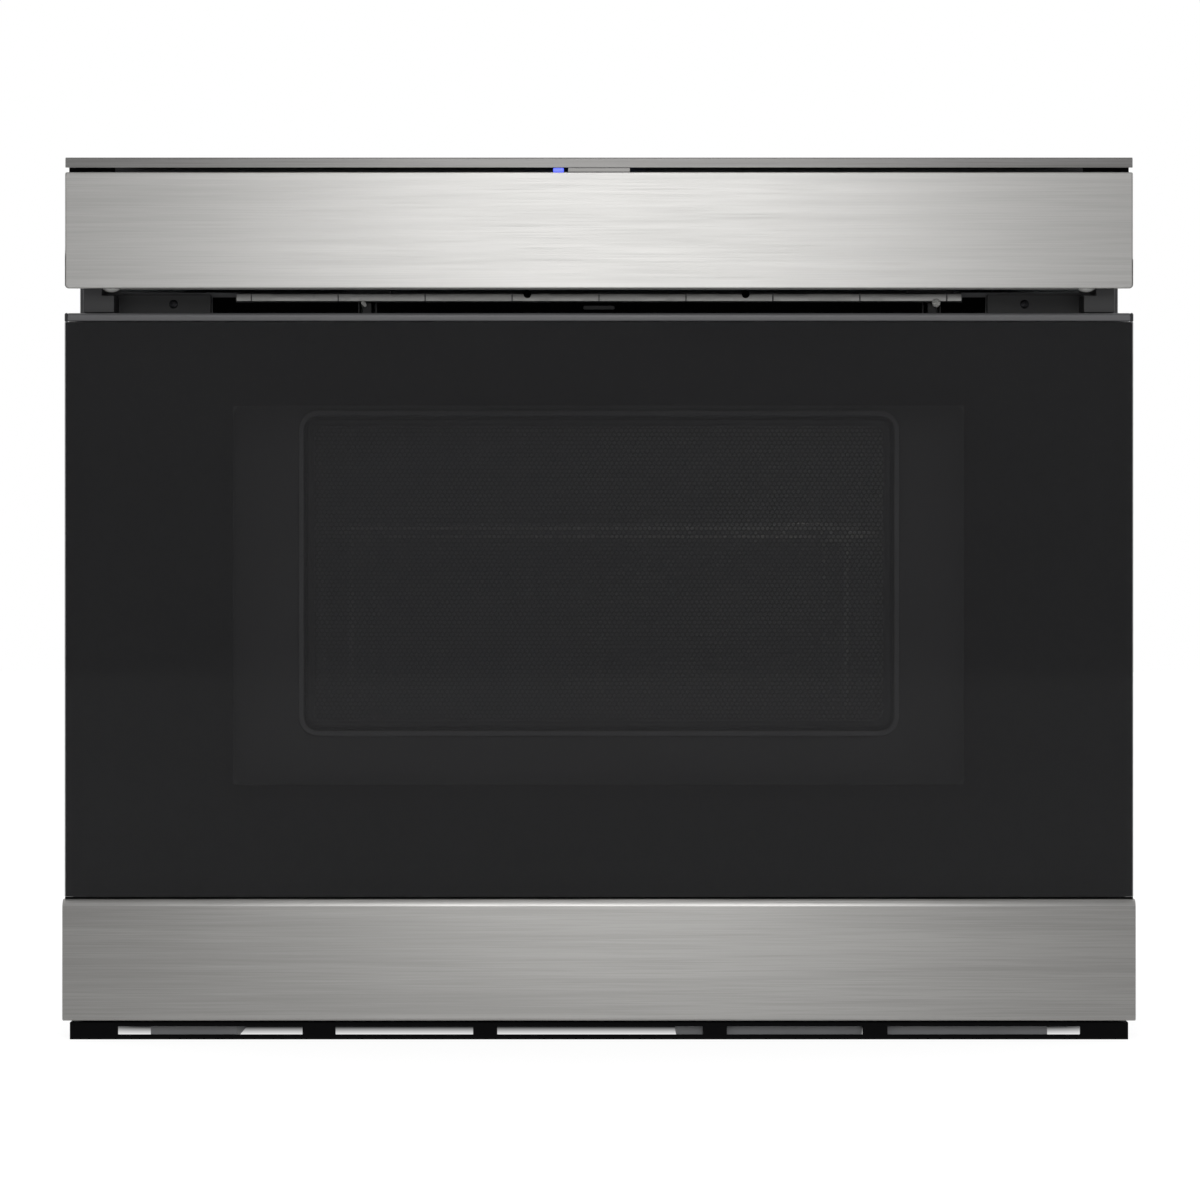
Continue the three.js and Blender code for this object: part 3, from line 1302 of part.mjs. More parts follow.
// Folded band with a bevelled upper edge and closed ends, open towards the door
function lowerBand() {
  const rear = trayFront - SEAT;
  const outline = [
    [rear, bandBottom],
    [rear, bandTop],
    [FRONT + BAND_BEVEL, bandTop],
    [FRONT, bandTop - BAND_BEVEL],
    [FRONT, bandBottom],
  ];
  const corner = BAND_BEVEL + STAINLESS * (2 - Math.SQRT2); // the bevel, moved in by the sheet's thickness
  const hollow = [
    [rear + 1, bandBottom + STAINLESS],
    [rear + 1, bandTop - STAINLESS],
    [FRONT + corner, bandTop - STAINLESS],
    [FRONT + STAINLESS, bandTop - corner],
    [FRONT + STAINLESS, bandBottom + STAINLESS],
  ];
  const shell = alongX(polygon(outline), centred(FRONT_WIDTH));
  const inside = alongX(polygon(hollow), inset(centred(FRONT_WIDTH), STAINLESS));
  const hem = block(
    centred(FRONT_WIDTH),
    [rear - 1, trayFront + BAND_HEM],
    [bandBottom, bandBottom + STAINLESS]
  );
  return shell.subtract(inside).add(hem);
}

const TRIM_BEND = 2.2;

function doorTopTrim() {
  const [low, high] = [glassTop + SEAT, doorTop];
  const section = new THREE.Shape();
  section.moveTo(glassFront, low);
  section.lineTo(trayBack, low);
  section.lineTo(trayBack, high);
  section.lineTo(glassFront + TRIM_BEND, high);
  section.absarc(glassFront + TRIM_BEND, high - TRIM_BEND, TRIM_BEND, Math.PI / 2, Math.PI);
  return alongX(section, centred(doorTrimWidth));
}

const TRAY_STEEL = 1.5;
const TRAY_CORNER = 3;
const SIGHT_CORNER = 6;
const sightX = centred(2 * (panHalf - SIGHT_STEP));
const sightZ = [PAN_FLOOR - SIGHT_DROP, panTop + SIGHT_RISE];

// Pressed tray behind the glass, with the sight opening in its front
function doorTray() {
  const [x, z] = [centred(frameWidth), [trayBottom, glassTop]];
  const outer = alongY(roundedRect(x, z, TRAY_CORNER), [trayFront, trayBack]);
  const pocket = alongY(
    roundedRect(inset(x, TRAY_STEEL), inset(z, TRAY_STEEL), TRAY_CORNER - TRAY_STEEL),
    [trayFront + TRAY_STEEL, trayBack + 1]
  );
  const sightY = [trayFront - 1, trayFront + TRAY_STEEL + 1];
  const sight = alongY(roundedRect(sightX, sightZ, SIGHT_CORNER), sightY);
  return without(outer, [pocket, sight]);
}

const BEAD_CORNER = 11;
const WINDOW_CORNER = 6;
const PLATE_STEP = 1; // of the choke panel, in from the tray's edges
const PLATE_LIFT = 4;
const beadX = inset(sightX, BEAD_STEP);
const beadZ = [PAN_FLOOR + BEAD_LOW, panTop + BEAD_HIGH];
const beadInside = BEAD_SECTION + SEAT;

// Plate that closes the tray from behind; the bead frames the window towards the glass
function chokePanel() {
  const plate = block(
    inset(centred(frameWidth), PLATE_STEP),
    [chokeFront, chokeBack],
    [trayBottom + PLATE_LIFT, glassTop - PLATE_STEP]
  );
  const beadY = [chokeFront - BEAD_DEPTH, chokeFront + 0.5];
  const outer = alongY(roundedRect(beadX, beadZ, BEAD_CORNER), beadY);
  const hollow = alongY(
    roundedRect(inset(beadX, BEAD_SECTION), inset(beadZ, BEAD_SECTION), BEAD_CORNER - BEAD_SECTION),
    [chokeFront - BEAD_DEPTH - 1, chokeFront]
  );
  const opening = alongY(
    roundedRect(inset(beadX, WINDOW_INSET), inset(beadZ, WINDOW_INSET), WINDOW_CORNER),
    [chokeFront - 1, chokeBack + 1]
  );
  return without(plate.add(outer.subtract(hollow)), [opening]);
}

const SCREEN_STEEL = 0.8;
const INNER_GLASS = { step: 8, low: 7, high: 2, corner: 8, thickness: 3 }; // in from the pan's walls

function windowScreen() {
  return alongY(
    roundedRect(inset(beadX, beadInside), inset(beadZ, beadInside), BEAD_CORNER - 2),
    [chokeFront - SEAT - SCREEN_STEEL, chokeFront - SEAT]
  );
}

function innerGlass() {
  const { step, low, high, corner, thickness } = INNER_GLASS;
  return alongY(
    roundedRect(centred(2 * (panHalf - step)), [PAN_FLOOR + low, panTop - high], corner),
    [doorBack, doorBack + thickness]
  );
}

const GASKET_WIDTH = 10;
const GASKET_OUT = 5.5; // from the frame's mouth to the gasket
const GASKET_CORNER = 8;

function doorGasket() {
  const half = cavityHalf - STEEL + GASKET_OUT;
  const z = [mouthBottom - GASKET_OUT, mouthTop + GASKET_OUT];
  const span = [doorBack, doorBack + GASKET_THICKNESS];
  const outer = alongY(
    roundedRect(centred(2 * (half + GASKET_WIDTH)), inset(z, -GASKET_WIDTH), GASKET_CORNER + GASKET_WIDTH),
    span
  );
  const inner = alongY(roundedRect(centred(2 * half), z, GASKET_CORNER), [span[0] - 1, span[1] + 1]);
  return outer.subtract(inner);
}

const HOOK_BASE = { width: 22, steel: 2.5, drop: 18 };
const HOOK = { shank: 12, barb: 16, reach: 20, relief: 1.5, nose: 3, bevel: 1 }; // lengths behind the frame

// A base behind the door's upper edge, and over it a narrow arm with a barb on its underside
function latchHook(x) {
  const base = block(
    about(x, HOOK_BASE.width),
    [doorBack, doorBack + HOOK_BASE.steel],
    [glassTop - HOOK_BASE.drop, doorTop - SEAT]
  );
  const arm = polygon([
    [doorBack, doorTop - 1],
    [doorBack + HOOK_BASE.steel, doorTop - 1],
    [doorBack + HOOK_BASE.steel, hookBottom + HOOK.relief],
    [chassisFront + HOOK.shank, hookBottom + HOOK.relief],
    [chassisFront + HOOK.shank, hookBottom],
    [chassisFront + HOOK.barb, hookBottom],
    [chassisFront + HOOK.reach, hookBottom + HOOK.nose],
    [chassisFront + HOOK.reach, hookTop - HOOK.bevel],
    [chassisFront + HOOK.barb, hookTop],
    [doorBack, hookTop],
  ]);
  return base.add(alongX(arm, about(x, HOOK_WIDTH)));
}

part("door_outer_glass", outerGlass(), "blackGlass");
part("door_lower_band", lowerBand(), "brushed");
part("door_top_trim", doorTopTrim(), "darkSteel");
part("door_tray", doorTray(), "darkSteel");
part("door_choke_panel", chokePanel(), "darkSteel");
part("window_screen", windowScreen(), "darkSteel");
part("door_inner_glass", innerGlass(), "blackGlass");
part("door_gasket", doorGasket(), "rubber");
part("latch_hook_left", latchHook(hooksX[0]), "nylon");
part("latch_hook_right", latchHook(hooksX[1]), "nylon");

// ---- Drawer pan and what lies in it ----------------------------------------------------------

const FLOOR_PORT_STEP = 30; // in from the ceramic tray's sides
const FLOOR_PORT_END = 35; // and from its ends
const FLOOR_PORT_CORNER = 20;
const PORT_STEP = 2; // of the pan's fan port, inside the cavity's
const PAN_SCREEN = { overlap: 5, steel: 1, hole: 4.6 };
const SCREEN_RINGS = [
  { count: 1, radius: 0 },
  { count: 6, radius: 16 },
  { count: 12, radius: 32 },
  { count: 18, radius: 48 },
];
const CERAMIC_CORNER = 14;

// Open tub fastened to the door, with a rolled rim, a port for the antenna and one for the fan
function drawerPan() {
  const outer = alongZ(rearRounded(panHalf, panFront, panBack, PAN_CORNER), [PAN_FLOOR, panTop]);
  const inner = alongZ(
    rearRounded(panHalf - STEEL, panFront - 5, panBack - STEEL, PAN_CORNER - STEEL),
    [PAN_FLOOR + STEEL, panTop + 1]
  );
  const rim = alongZ(
    rearRounded(panHalf + RIM, panFront, panBack + RIM, PAN_CORNER + RIM),
    [panTop - STEEL, panTop]
  );
  const port = alongZ(
    roundedRect(
      inset(centred(ceramicWidth), FLOOR_PORT_STEP),
      inset(about(panMiddle, ceramicLength), FLOOR_PORT_END),
      FLOOR_PORT_CORNER
    ),
    [PAN_FLOOR - 1, PAN_FLOOR + STEEL + 1]
  );
  const portY = [panBack - STEEL - 1, panBack + RIM + 1];
  const fanPort = rod(FAN_PORT - PORT_STEP, "y", [0, 0, fanHeight], portY, 24);
  return without(outer.add(rim), [inner, port, fanPort]);
}

// Rings of round holes in a plate over the pan's rear port
function panScreen() {
  const span = [panBack + SEAT, panBack + SEAT + PAN_SCREEN.steel];
  const centre = [0, 0, fanHeight];
  const plate = rod(FAN_PORT + PAN_SCREEN.overlap, "y", centre, span, 32);
  const holes = [];
  for (const { count, radius } of SCREEN_RINGS) {
    for (let i = 0; i < count; i += 1) {
      const angle = (2 * Math.PI * i) / count;
      const at = [radius * Math.cos(angle), 0, fanHeight + radius * Math.sin(angle)];
      holes.push(rod(PAN_SCREEN.hole, "y", at, [span[0] - 1, span[1] + 1], 6));
    }
  }
  return without(plate, holes);
}

function ceramicTray() {
  return alongZ(
    roundedRect(centred(ceramicWidth), about(panMiddle, ceramicLength), CERAMIC_CORNER),
    [ceramicTop - TRAY_THICKNESS, ceramicTop]
  );
}

const BORDER_WIRE = 2.4;
const BAR_WIRE = 1.5;
const RACK_CORNER = 24;
const BAR_MARGIN = 30; // from the border to the first bar
const FOOT_STEP = 18; // in from the border's sides
const FOOT_END = 40; // in from its ends
const FOOT_REACH = 3; // of the lower wire past the legs
const LOWER_TIE = 24; // above the tray
const WIRE_CHAMFER = 0.58; // of the wire's radius, for an even octagon

// A flat loop of wire with rounded corners, its section an octagon made by the bevel
function wireLoop(x, y, z, radius, wire) {
  const chamfer = wire * WIRE_CHAMFER;
  const loop = roundedRect(inset(x, chamfer - wire), inset(y, chamfer - wire), radius);
  loop.holes.push(roundedRect(inset(x, wire - chamfer), inset(y, wire - chamfer), radius - wire));
  const geometry = new THREE.ExtrudeGeometry(loop, {
    depth: 2 * (wire - chamfer),
    bevelThickness: chamfer,
    bevelSize: chamfer,
    bevelSegments: 1,
    curveSegments: 3,
  });
  geometry.translate(0, 0, z - wire + chamfer);
  return solid(geometry);
}

// A straight round wire between two points
function strut(from, to, wire, sides = 6) {
  const along = to.clone().sub(from);
  const geometry = new THREE.CylinderGeometry(wire, wire, along.length(), sides);
  geometry.applyQuaternion(new THREE.Quaternion().setFromUnitVectors(Y, along.clone().normalize()));
  geometry.translate(...from.clone().add(to).multiplyScalar(0.5));
  return solid(geometry);
}

const at = (x, y, z) => new THREE.Vector3(x, y, z);

function wireRack() {
  const x = inset(centred(ceramicWidth), RACK_SIDE_STEP);
  const y = inset(about(panMiddle, ceramicLength), RACK_END_STEP);
  const border = wireLoop(x, y, rackLevel, RACK_CORNER, BORDER_WIRE);
  const barLevel = rackLevel - BORDER_WIRE;
  const barPitch = (x[1] - x[0] - 2 * BAR_MARGIN) / (RACK_BARS - 1);
  const bars = Array.from({ length: RACK_BARS }, (_, i) => {
    const barX = (i - (RACK_BARS - 1) / 2) * barPitch;
    return strut(at(barX, y[0], barLevel), at(barX, y[1], barLevel), BAR_WIRE, 5);
  });
  const cross = strut(at(x[0], panMiddle, barLevel), at(x[1], panMiddle, barLevel), BAR_WIRE, 5);
  const ends = inset(y, FOOT_END);
  const footZ = ceramicTop + SEAT + BORDER_WIRE;
  const tieZ = ceramicTop + LOWER_TIE;
  const feet = [-1, 1].flatMap((side) => {
    const edgeX = side * (x[1] - 0.5);
    const footX = side * (x[1] - FOOT_STEP);
    return [
      ...ends.map((footY) => strut(at(footX, footY, footZ), at(footX, footY, barLevel), BORDER_WIRE)),
      ...ends.map((footY) => strut(at(footX, footY, barLevel), at(edgeX, footY, barLevel), BORDER_WIRE)),
      strut(at(footX, ends[0] - FOOT_REACH, footZ), at(footX, ends[1] + FOOT_REACH, footZ), BORDER_WIRE),
      strut(at(footX, ends[0], tieZ), at(footX, ends[1], tieZ), BAR_WIRE, 5),
    ];
  });
  return union([border, ...bars, cross, ...feet]);
}

part("drawer_pan", drawerPan(), "galvanised");
part("pan_rear_screen", panScreen(), "galvanised");
part("ceramic_tray", ceramicTray(), "ceramic");
part("wire_rack", wireRack(), "chrome");

// ---- Tilting control panel -------------------------------------------------------------------

const RELIEF_RISE = 10; // over the pivot

// Folded face: the hems point backwards, the lower one stops short of the hinge pillars
function controlFascia() {
  const outer = block(centred(fasciaWidth), [FRONT, FRONT + FASCIA_HEM], [fasciaBottom, fasciaTop]);
  const inner = block(
    centred(fasciaWidth - 2 * STAINLESS),
    [FRONT + STAINLESS, FRONT + FASCIA_HEM + 1],
    [fasciaBottom + STAINLESS, fasciaTop - STAINLESS]
  );
  const relief = [-1, 1].map((side) =>
    block(
      [side * (housingWidth / 2 - 1), side * (fasciaWidth / 2 + 1)],
      [FRONT + STAINLESS, FRONT + FASCIA_HEM + 1],
      [fasciaBottom - 1, pivotZ + RELIEF_RISE]
    )
  );
  return without(outer, [inner, ...relief]);
}

const housingY = FRONT + STAINLESS + SEAT;
const housingTop = controlTop - CONTROL_GLASS_THICKNESS - SEAT;

const HEEL_DEPTH = 7; // of the moulding's bottom behind the pivot
const BACK_WALL = 10; // height of its rear wall under the control glass
const GLASS_OVERHANG = 1;

// Wedge-shaped moulding behind the fascia, open at the top under the control glass
function controlHousing() {
  const bottom = fasciaBottom + STAINLESS + SEAT;
  const section = (wall, rise) =>
    polygon([
      [housingY + wall, bottom + wall],
      [pivotY + HEEL_DEPTH - wall, bottom + wall],
      [panelBack - GLASS_OVERHANG - wall, housingTop - BACK_WALL + wall / 2],
      [panelBack - GLASS_OVERHANG - wall, housingTop + rise],
      [housingY + wall, housingTop + rise],
    ]);
  const body = alongX(section(0, 0), centred(housingWidth));
  const space = alongX(section(PLASTIC, 1), centred(housingWidth - 2 * PLASTIC));
  const pin = rod(PIN_RADIUS, "x", [0, pivotY, pivotZ], [housingWidth / 2 - 1, pillarOuter - 1], 16);
  return union([body.subtract(space), pin, mirrored(pin)]);
}

function controlGlass() {
  return block(
    centred(housingWidth - 1),
    [housingY, panelBack],
    [controlTop - CONTROL_GLASS_THICKNESS, controlTop]
  );
}

const TOPPER_SETBACK = 0.3;
const TAB_DEPTH = 6;
const LENS_DEPTH = 4;

// The tab and the status lens stand on the fascia's upper hem, in the dark line under the top trim
function fasciaTopper(x, width, depth) {
  const y = [FRONT + TOPPER_SETBACK, FRONT + TOPPER_SETBACK + depth];
  return block(about(x, width), y, [fasciaTop + SEAT, stripBottom - SEAT]);
}

part("control_fascia", controlFascia(), "brushed");
part("control_housing", controlHousing(), "blackPlastic");
part("control_glass", controlGlass(), "blackGlass");
part("finger_tab", fasciaTopper(0, TAB_WIDTH, TAB_DEPTH), "brushed");
part("status_lens", fasciaTopper(LENS_X, LENS_WIDTH, LENS_DEPTH), "lamp");

export default drawer;
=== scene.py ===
# %% [markdown]
# # A built-in microwave drawer
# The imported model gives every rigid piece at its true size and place, in metres, with the floor
# at z = 0 and the front facing -Y. This file dresses it: rounded edges, brushed steel, smoked
# glass, screens, screws and the printed keys on the control glass. It starts by loading the model
# as a fixed frame, and keeps the model's box, because nothing that is added may reach outside it.

# %% Load the frame
import json
import math

import bmesh
import bpy
import numpy as np
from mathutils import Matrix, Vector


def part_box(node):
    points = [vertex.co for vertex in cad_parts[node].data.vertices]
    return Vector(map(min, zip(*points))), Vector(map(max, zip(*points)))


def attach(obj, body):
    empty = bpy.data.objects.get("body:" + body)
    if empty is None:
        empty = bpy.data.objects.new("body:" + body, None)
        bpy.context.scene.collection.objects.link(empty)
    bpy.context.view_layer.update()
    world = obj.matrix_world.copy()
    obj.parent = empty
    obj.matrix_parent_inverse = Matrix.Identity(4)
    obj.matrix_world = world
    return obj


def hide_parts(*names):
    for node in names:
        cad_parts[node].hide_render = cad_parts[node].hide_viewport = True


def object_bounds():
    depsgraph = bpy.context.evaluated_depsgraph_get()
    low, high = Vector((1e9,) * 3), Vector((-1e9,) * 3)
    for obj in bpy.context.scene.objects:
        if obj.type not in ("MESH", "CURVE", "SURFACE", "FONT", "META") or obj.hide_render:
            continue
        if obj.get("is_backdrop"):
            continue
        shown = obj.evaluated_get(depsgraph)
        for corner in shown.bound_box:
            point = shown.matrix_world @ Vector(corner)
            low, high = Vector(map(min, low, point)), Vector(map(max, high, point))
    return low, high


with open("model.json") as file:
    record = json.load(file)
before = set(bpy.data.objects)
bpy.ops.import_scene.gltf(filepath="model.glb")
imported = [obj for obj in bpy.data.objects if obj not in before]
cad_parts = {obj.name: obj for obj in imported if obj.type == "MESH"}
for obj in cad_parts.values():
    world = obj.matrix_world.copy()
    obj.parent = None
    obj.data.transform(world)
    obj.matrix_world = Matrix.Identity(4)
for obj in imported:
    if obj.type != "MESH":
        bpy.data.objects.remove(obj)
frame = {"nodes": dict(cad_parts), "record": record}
frame_box = [list(corner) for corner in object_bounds()]
MM = 0.001
members = frame["record"]["behaviour"]["bodies"]
body_of = {node: body for body, nodes in members.items() for node in nodes}
print("bodies:", {body: len(nodes) for body, nodes in members.items()})


def placed(name, data):
    """An object for a mesh, a text, a lamp or a camera, linked to the scene."""
    made = bpy.data.objects.new(name, data)
    bpy.context.scene.collection.objects.link(made)
    return made


# %% [markdown]
# ## The camera
# The photograph looks straight at the front, with almost no perspective: no side shows, and the
# strips of the front are all level. That is a long lens a few metres away, at the middle of the
# picture's height. One number ties pixels to millimetres: the lower band is 606.4 mm wide and
# 1073.7 pixels wide.

# %% Place the camera
MM_PER_PIXEL = 0.5648
PHOTO_PIXELS = 1200
UNDERSIDE_ROW = 1040
MIDDLE_COLUMN = 599
CAMERA_DISTANCE = 2.4
SENSOR_MM = 36

front_y = frame_box[0][1]
view_width = PHOTO_PIXELS * MM_PER_PIXEL * MM
camera_data = bpy.data.cameras.new("front_camera")
camera_data.sensor_fit = "HORIZONTAL"
camera_data.sensor_width = SENSOR_MM
camera_data.lens = SENSOR_MM * CAMERA_DISTANCE / view_width
camera = placed("front_camera", camera_data)
camera.location = (
    (PHOTO_PIXELS / 2 - MIDDLE_COLUMN) * MM_PER_PIXEL * MM,
    front_y - CAMERA_DISTANCE,
    (UNDERSIDE_ROW - PHOTO_PIXELS / 2) * MM_PER_PIXEL * MM,
)
camera.rotation_euler = (math.pi / 2, 0, 0)
bpy.context.scene.camera = camera
bpy.context.scene.view_settings.view_transform = "Standard"
print(f"lens {camera_data.lens:.1f} mm at {CAMERA_DISTANCE} m")

# %% [markdown]
# ## Shader nodes
# A finish is a small network of nodes. One function adds a node with its settings and its links,
# and a few short ones build on it: a noise whose grains have a real size, a run of colour, a run
# of numbers, and a bump of a real depth. Colours are written as they look on screen and turned to
# linear values once.


# %% Add a node, and read a colour
def linear(hex_colour):
    """The linear colour of an sRGB hex string: the usual power curve, with its straight foot."""
    value = np.array([int(hex_colour[i : i + 2], 16) / 255 for i in (1, 3, 5)])
    curved = np.where(value <= 0.04045, value / 12.92, ((value + 0.055) / 1.055) ** 2.4)
    return (*curved.tolist(), 1.0)


def add(tree, kind, inputs=None, **settings):
    """Adds one node. An input is a value, or the output socket that it is linked from."""
    made = tree.nodes.new("ShaderNode" + kind)
    for name, value in settings.items():
        setattr(made, name, value)
    for name, value in (inputs or {}).items():
        if isinstance(value, bpy.types.NodeSocket):
            tree.links.new(value, made.inputs[name])
        else:
            made.inputs[name].default_value = value
    return made


def grain(tree, size_mm, stretch=(1, 1, 1), detail=2.0):
    """A noise with grains of size_mm, longer by its stretch on each axis."""
    place = add(tree, "TexCoord").outputs["Object"]
    scale = [1 / (size_mm * MM * s) for s in stretch]
    mapped = add(tree, "Mapping", {"Vector": place, "Scale": scale}).outputs["Vector"]
    return add(tree, "TexNoise", {"Vector": mapped, "Scale": 1.0, "Detail": detail}).outputs["Fac"]


def span(tree, value, low, high, start=0.3, end=0.7):
    """Numbers from low to high while the value goes from start to end."""
    settings = {"Value": value, "From Min": start, "From Max": end, "To Min": low, "To Max": high}
    return add(tree, "MapRange", settings).outputs["Result"]


def shade(tree, value, dark, light, start=0.3, end=0.7):
    """Colours from one hex to the other while the value goes from start to end."""
    ramp = add(tree, "ValToRGB", {"Fac": value})
    first, last = ramp.color_ramp.elements
    first.position, last.position = start, end
    first.color, last.color = linear(dark), linear(light)
    return ramp.outputs["Color"]


def times(tree, a, b):
    """The product of two values."""
    return add(tree, "Math", {0: a, 1: b}, operation="MULTIPLY").outputs["Value"]


def most(tree, a, b):
    """The larger of two values."""
    return add(tree, "Math", {0: a, 1: b}, operation="MAXIMUM").outputs["Value"]


# %% Make a finish
finishes = {}


def finish(name, **constants):
    """A new material with its constant settings; returns its tree and its shader."""
    material = bpy.data.materials.new(name)
    material.use_nodes = True
    shader = material.node_tree.nodes["Principled BSDF"]
    for key, value in constants.items():
        shader.inputs[key.replace("_", " ")].default_value = value
    finishes[name] = material
    return material.node_tree, shader


def wear(tree, shader, colour, roughness, height=None, depth_mm=0.0):
    """Links a colour, a roughness and a height of depth_mm to a shader."""
    tree.links.new(colour, shader.inputs["Base Color"])
    tree.links.new(roughness, shader.inputs["Roughness"])
    if height is not None:
        bump = add(tree, "Bump", {"Height": height, "Distance": depth_mm * MM, "Strength": 1.0})
        tree.links.new(bump.outputs["Normal"], shader.inputs["Normal"])


print("node helpers ready")

# %% [markdown]
# ## Brushed stainless steel
# The fascia, the lower band and the top trim are stainless sheet, brushed from side to side with
# a fine belt. The belt leaves scratches about a tenth of a millimetre apart and some centimetres
# long. They can't be seen one by one, so a coarser line about every 0.7 mm stands for them, with
# broader, fainter streaks over it. Scratches that run along X spread a highlight up and down,
# which is what anisotropy does: the shader's tangent is the object's own X axis, and a quarter
# turn puts the stretch across it.

# %% Brushed steel
LINE_MM = 0.7
LINE_LENGTH = 90  # how many times longer than wide a line is
STREAK_MM = 4.0
PATCH_MM = 120
LINE_DEPTH_MM = 0.012


def brushed_steel(name, dark, light, roughness):
    """Fine lines and broad streaks along X, in colour, roughness and a shallow bump."""
    stretch = {"Anisotropic": 0.95, "Anisotropic_Rotation": 0.25}
    tree, shader = finish(name, Metallic=1.0, **stretch)
    along = {"Vector": (1, 0, 0)}
    spaces = {"vector_type": "VECTOR", "convert_from": "OBJECT", "convert_to": "WORLD"}
    turned = add(tree, "VectorTransform", along, **spaces)
    tree.links.new(turned.outputs["Vector"], shader.inputs["Tangent"])
    lines = grain(tree, LINE_MM, (LINE_LENGTH, 1, 1), 3.0)
    streaks = grain(tree, STREAK_MM, (LINE_LENGTH / 2, 1, 1), 2.0)
    patches = grain(tree, PATCH_MM, (1.5, 1, 1), 1.0)
    both = times(tree, lines, span(tree, streaks, 0.76, 1.24))
    mixed = times(tree, both, span(tree, patches, 0.9, 1.1))
    colour = shade(tree, mixed, dark, light, 0.32, 0.66)
    rough = span(tree, lines, roughness - 0.05, roughness + 0.06)
    wear(tree, shader, colour, rough, lines, LINE_DEPTH_MM)


# The band and the trim are the same steel as the fascia in darker colours: painted shade.
brushed_steel("fascia_steel", "#adacaa", "#b8b7b5", 0.42)
brushed_steel("band_steel_painted_shade", "#8b8a88", "#999896", 0.42)
brushed_steel("trim_steel_painted_shade", "#767573", "#858483", 0.42)
# A brighter copy of the band's steel for its upward slope: a painted highlight.
brushed_steel("slope_painted_highlight", "#a4a3a1", "#b1b0ae", 0.36)
print("brushed steel:", list(finishes))

# %% [markdown]
# ## Sheet metal behind the front
# The wrapper, base and rails are galvanised steel. Zinc freezes on the sheet in flat crystals,
# the spangle, a centimetre or so across, each a slightly different grey: Voronoi cells give that.
# The frame, its brackets and the door tray are painted a satin dark grey, which has a very fine
# orange-peel bump. The brackets, in the shaded gap under the fascia, are a much darker grey of
# it: painted shade. The pan and the cavity are enamelled: a smooth grey glass coat with fine pale
# flecks.

# %% Galvanised, painted and enamelled sheet
SPANGLE_MM = 11


def galvanised(name, dark, light, roughness):
    """Flat crystals of slightly different greys, with fine rolling lines under them."""
    tree, shader = finish(name, Metallic=1.0)
    place = add(tree, "TexCoord").outputs["Object"]
    flat_cells = {"Vector": place, "Scale": 1 / (SPANGLE_MM * MM), "Randomness": 1.0}
    cells = add(tree, "TexVoronoi", flat_cells)
    tone = add(tree, "SeparateColor", {"Color": cells.outputs["Color"]}).outputs["Red"]
    rolled = grain(tree, 1.2, (1, 30, 1), 2.0)
    mixed = times(tree, span(tree, tone, 0.9, 1.0, 0.0, 1.0), span(tree, rolled, 0.94, 1.0))
    colour = shade(tree, mixed, dark, light, 0.8, 1.0)
    rough = span(tree, tone, roughness - 0.07, roughness + 0.07, 0.0, 1.0)
    wear(tree, shader, colour, rough, rolled, 0.01)


def painted(name, dark, light, roughness, grain_mm=1.4, depth_mm=0.02):
    """Satin paint: a faint drift of tone and an orange-peel bump."""
    tree, shader = finish(name, IOR=1.5)
    peel = grain(tree, grain_mm, detail=1.0)
    drift = grain(tree, 60, detail=3.0)
    rough = span(tree, drift, roughness - 0.05, roughness + 0.05)
    wear(tree, shader, shade(tree, drift, dark, light), rough, peel, depth_mm)


def enamelled(name, dark, light, fleck):
    """Glassy grey coat, smooth to the touch, with flecks of a paler frit a millimetre across."""
    tree, shader = finish(name, IOR=1.52, Coat_Weight=0.4, Coat_Roughness=0.08)
    drift = grain(tree, 70, detail=0.0)
    flecks = span(tree, grain(tree, 1.1, detail=0.0), 0.0, 1.0, 0.66, 0.70)
    colours = {0: flecks, 6: shade(tree, drift, dark, light), 7: linear(fleck)}
    colour = add(tree, "Mix", colours, data_type="RGBA").outputs[2]
    wear(tree, shader, colour, span(tree, drift, 0.26, 0.31), drift, 0.015)


galvanised("galvanised_sheet", "#8d9194", "#a9adaf", 0.42)
galvanised("rail_zinc", "#a2a5a7", "#b9bcbe", 0.3)
painted("frame_paint", "#58585a", "#626264", 0.42)
# The brackets' grey is far darker than the frame's same paint: painted shade.
painted("bracket_paint_with_painted_shade", "#2b2b2c", "#323234", 0.5)
galvanised("lip_steel", "#989896", "#a8a8a6", 0.4)
painted("screen_paint", "#38383a", "#404042", 0.6)
# A lighter grey for the forward faces of the bead round the window.
painted("bead_paint", "#a5a5a7", "#b0b0b2", 0.4)
painted("door_tray_paint", "#4e4e50", "#58585a", 0.5)
painted("choke_panel_paint", "#6a6a6c", "#747476", 0.5)
painted("door_trim_paint", "#4e4e50", "#575759", 0.36)
painted("runner_paint", "#8c8d8f", "#9a9b9d", 0.5)
enamelled("cavity_enamel", "#4a4b4e", "#55565a", "#7b7c80")
print(len(finishes), "finishes so far")

# %% [markdown]
# ## Wire, ceramic, nylon, plastics and rubber
# The rack is chrome-plated wire: mirror smooth, with faint ripples from drawing. The pan's floor
# is glass-ceramic, off-white and slightly mottled. Bushes, bumpers and gears are white nylon with
# a soft moulded skin; the hooks, vent, fan and control housing are black plastic with a fine
# spark-eroded grain. The vent is near-black, far darker than the plastic: its own black with
# painted shade in it. A near-black as deep, rough and dull, stands for the shade in the gaps at
# the front: painted shade.

# %% Smaller finishes
def polished(name, dark, light, roughness):
    """Bright metal with a slow ripple."""
    tree, shader = finish(name, Metallic=1.0)
    ripple = grain(tree, 3, detail=1.0)
    rough = span(tree, ripple, roughness, roughness + 0.05)
    wear(tree, shader, shade(tree, ripple, dark, light), rough, ripple, 0.01)


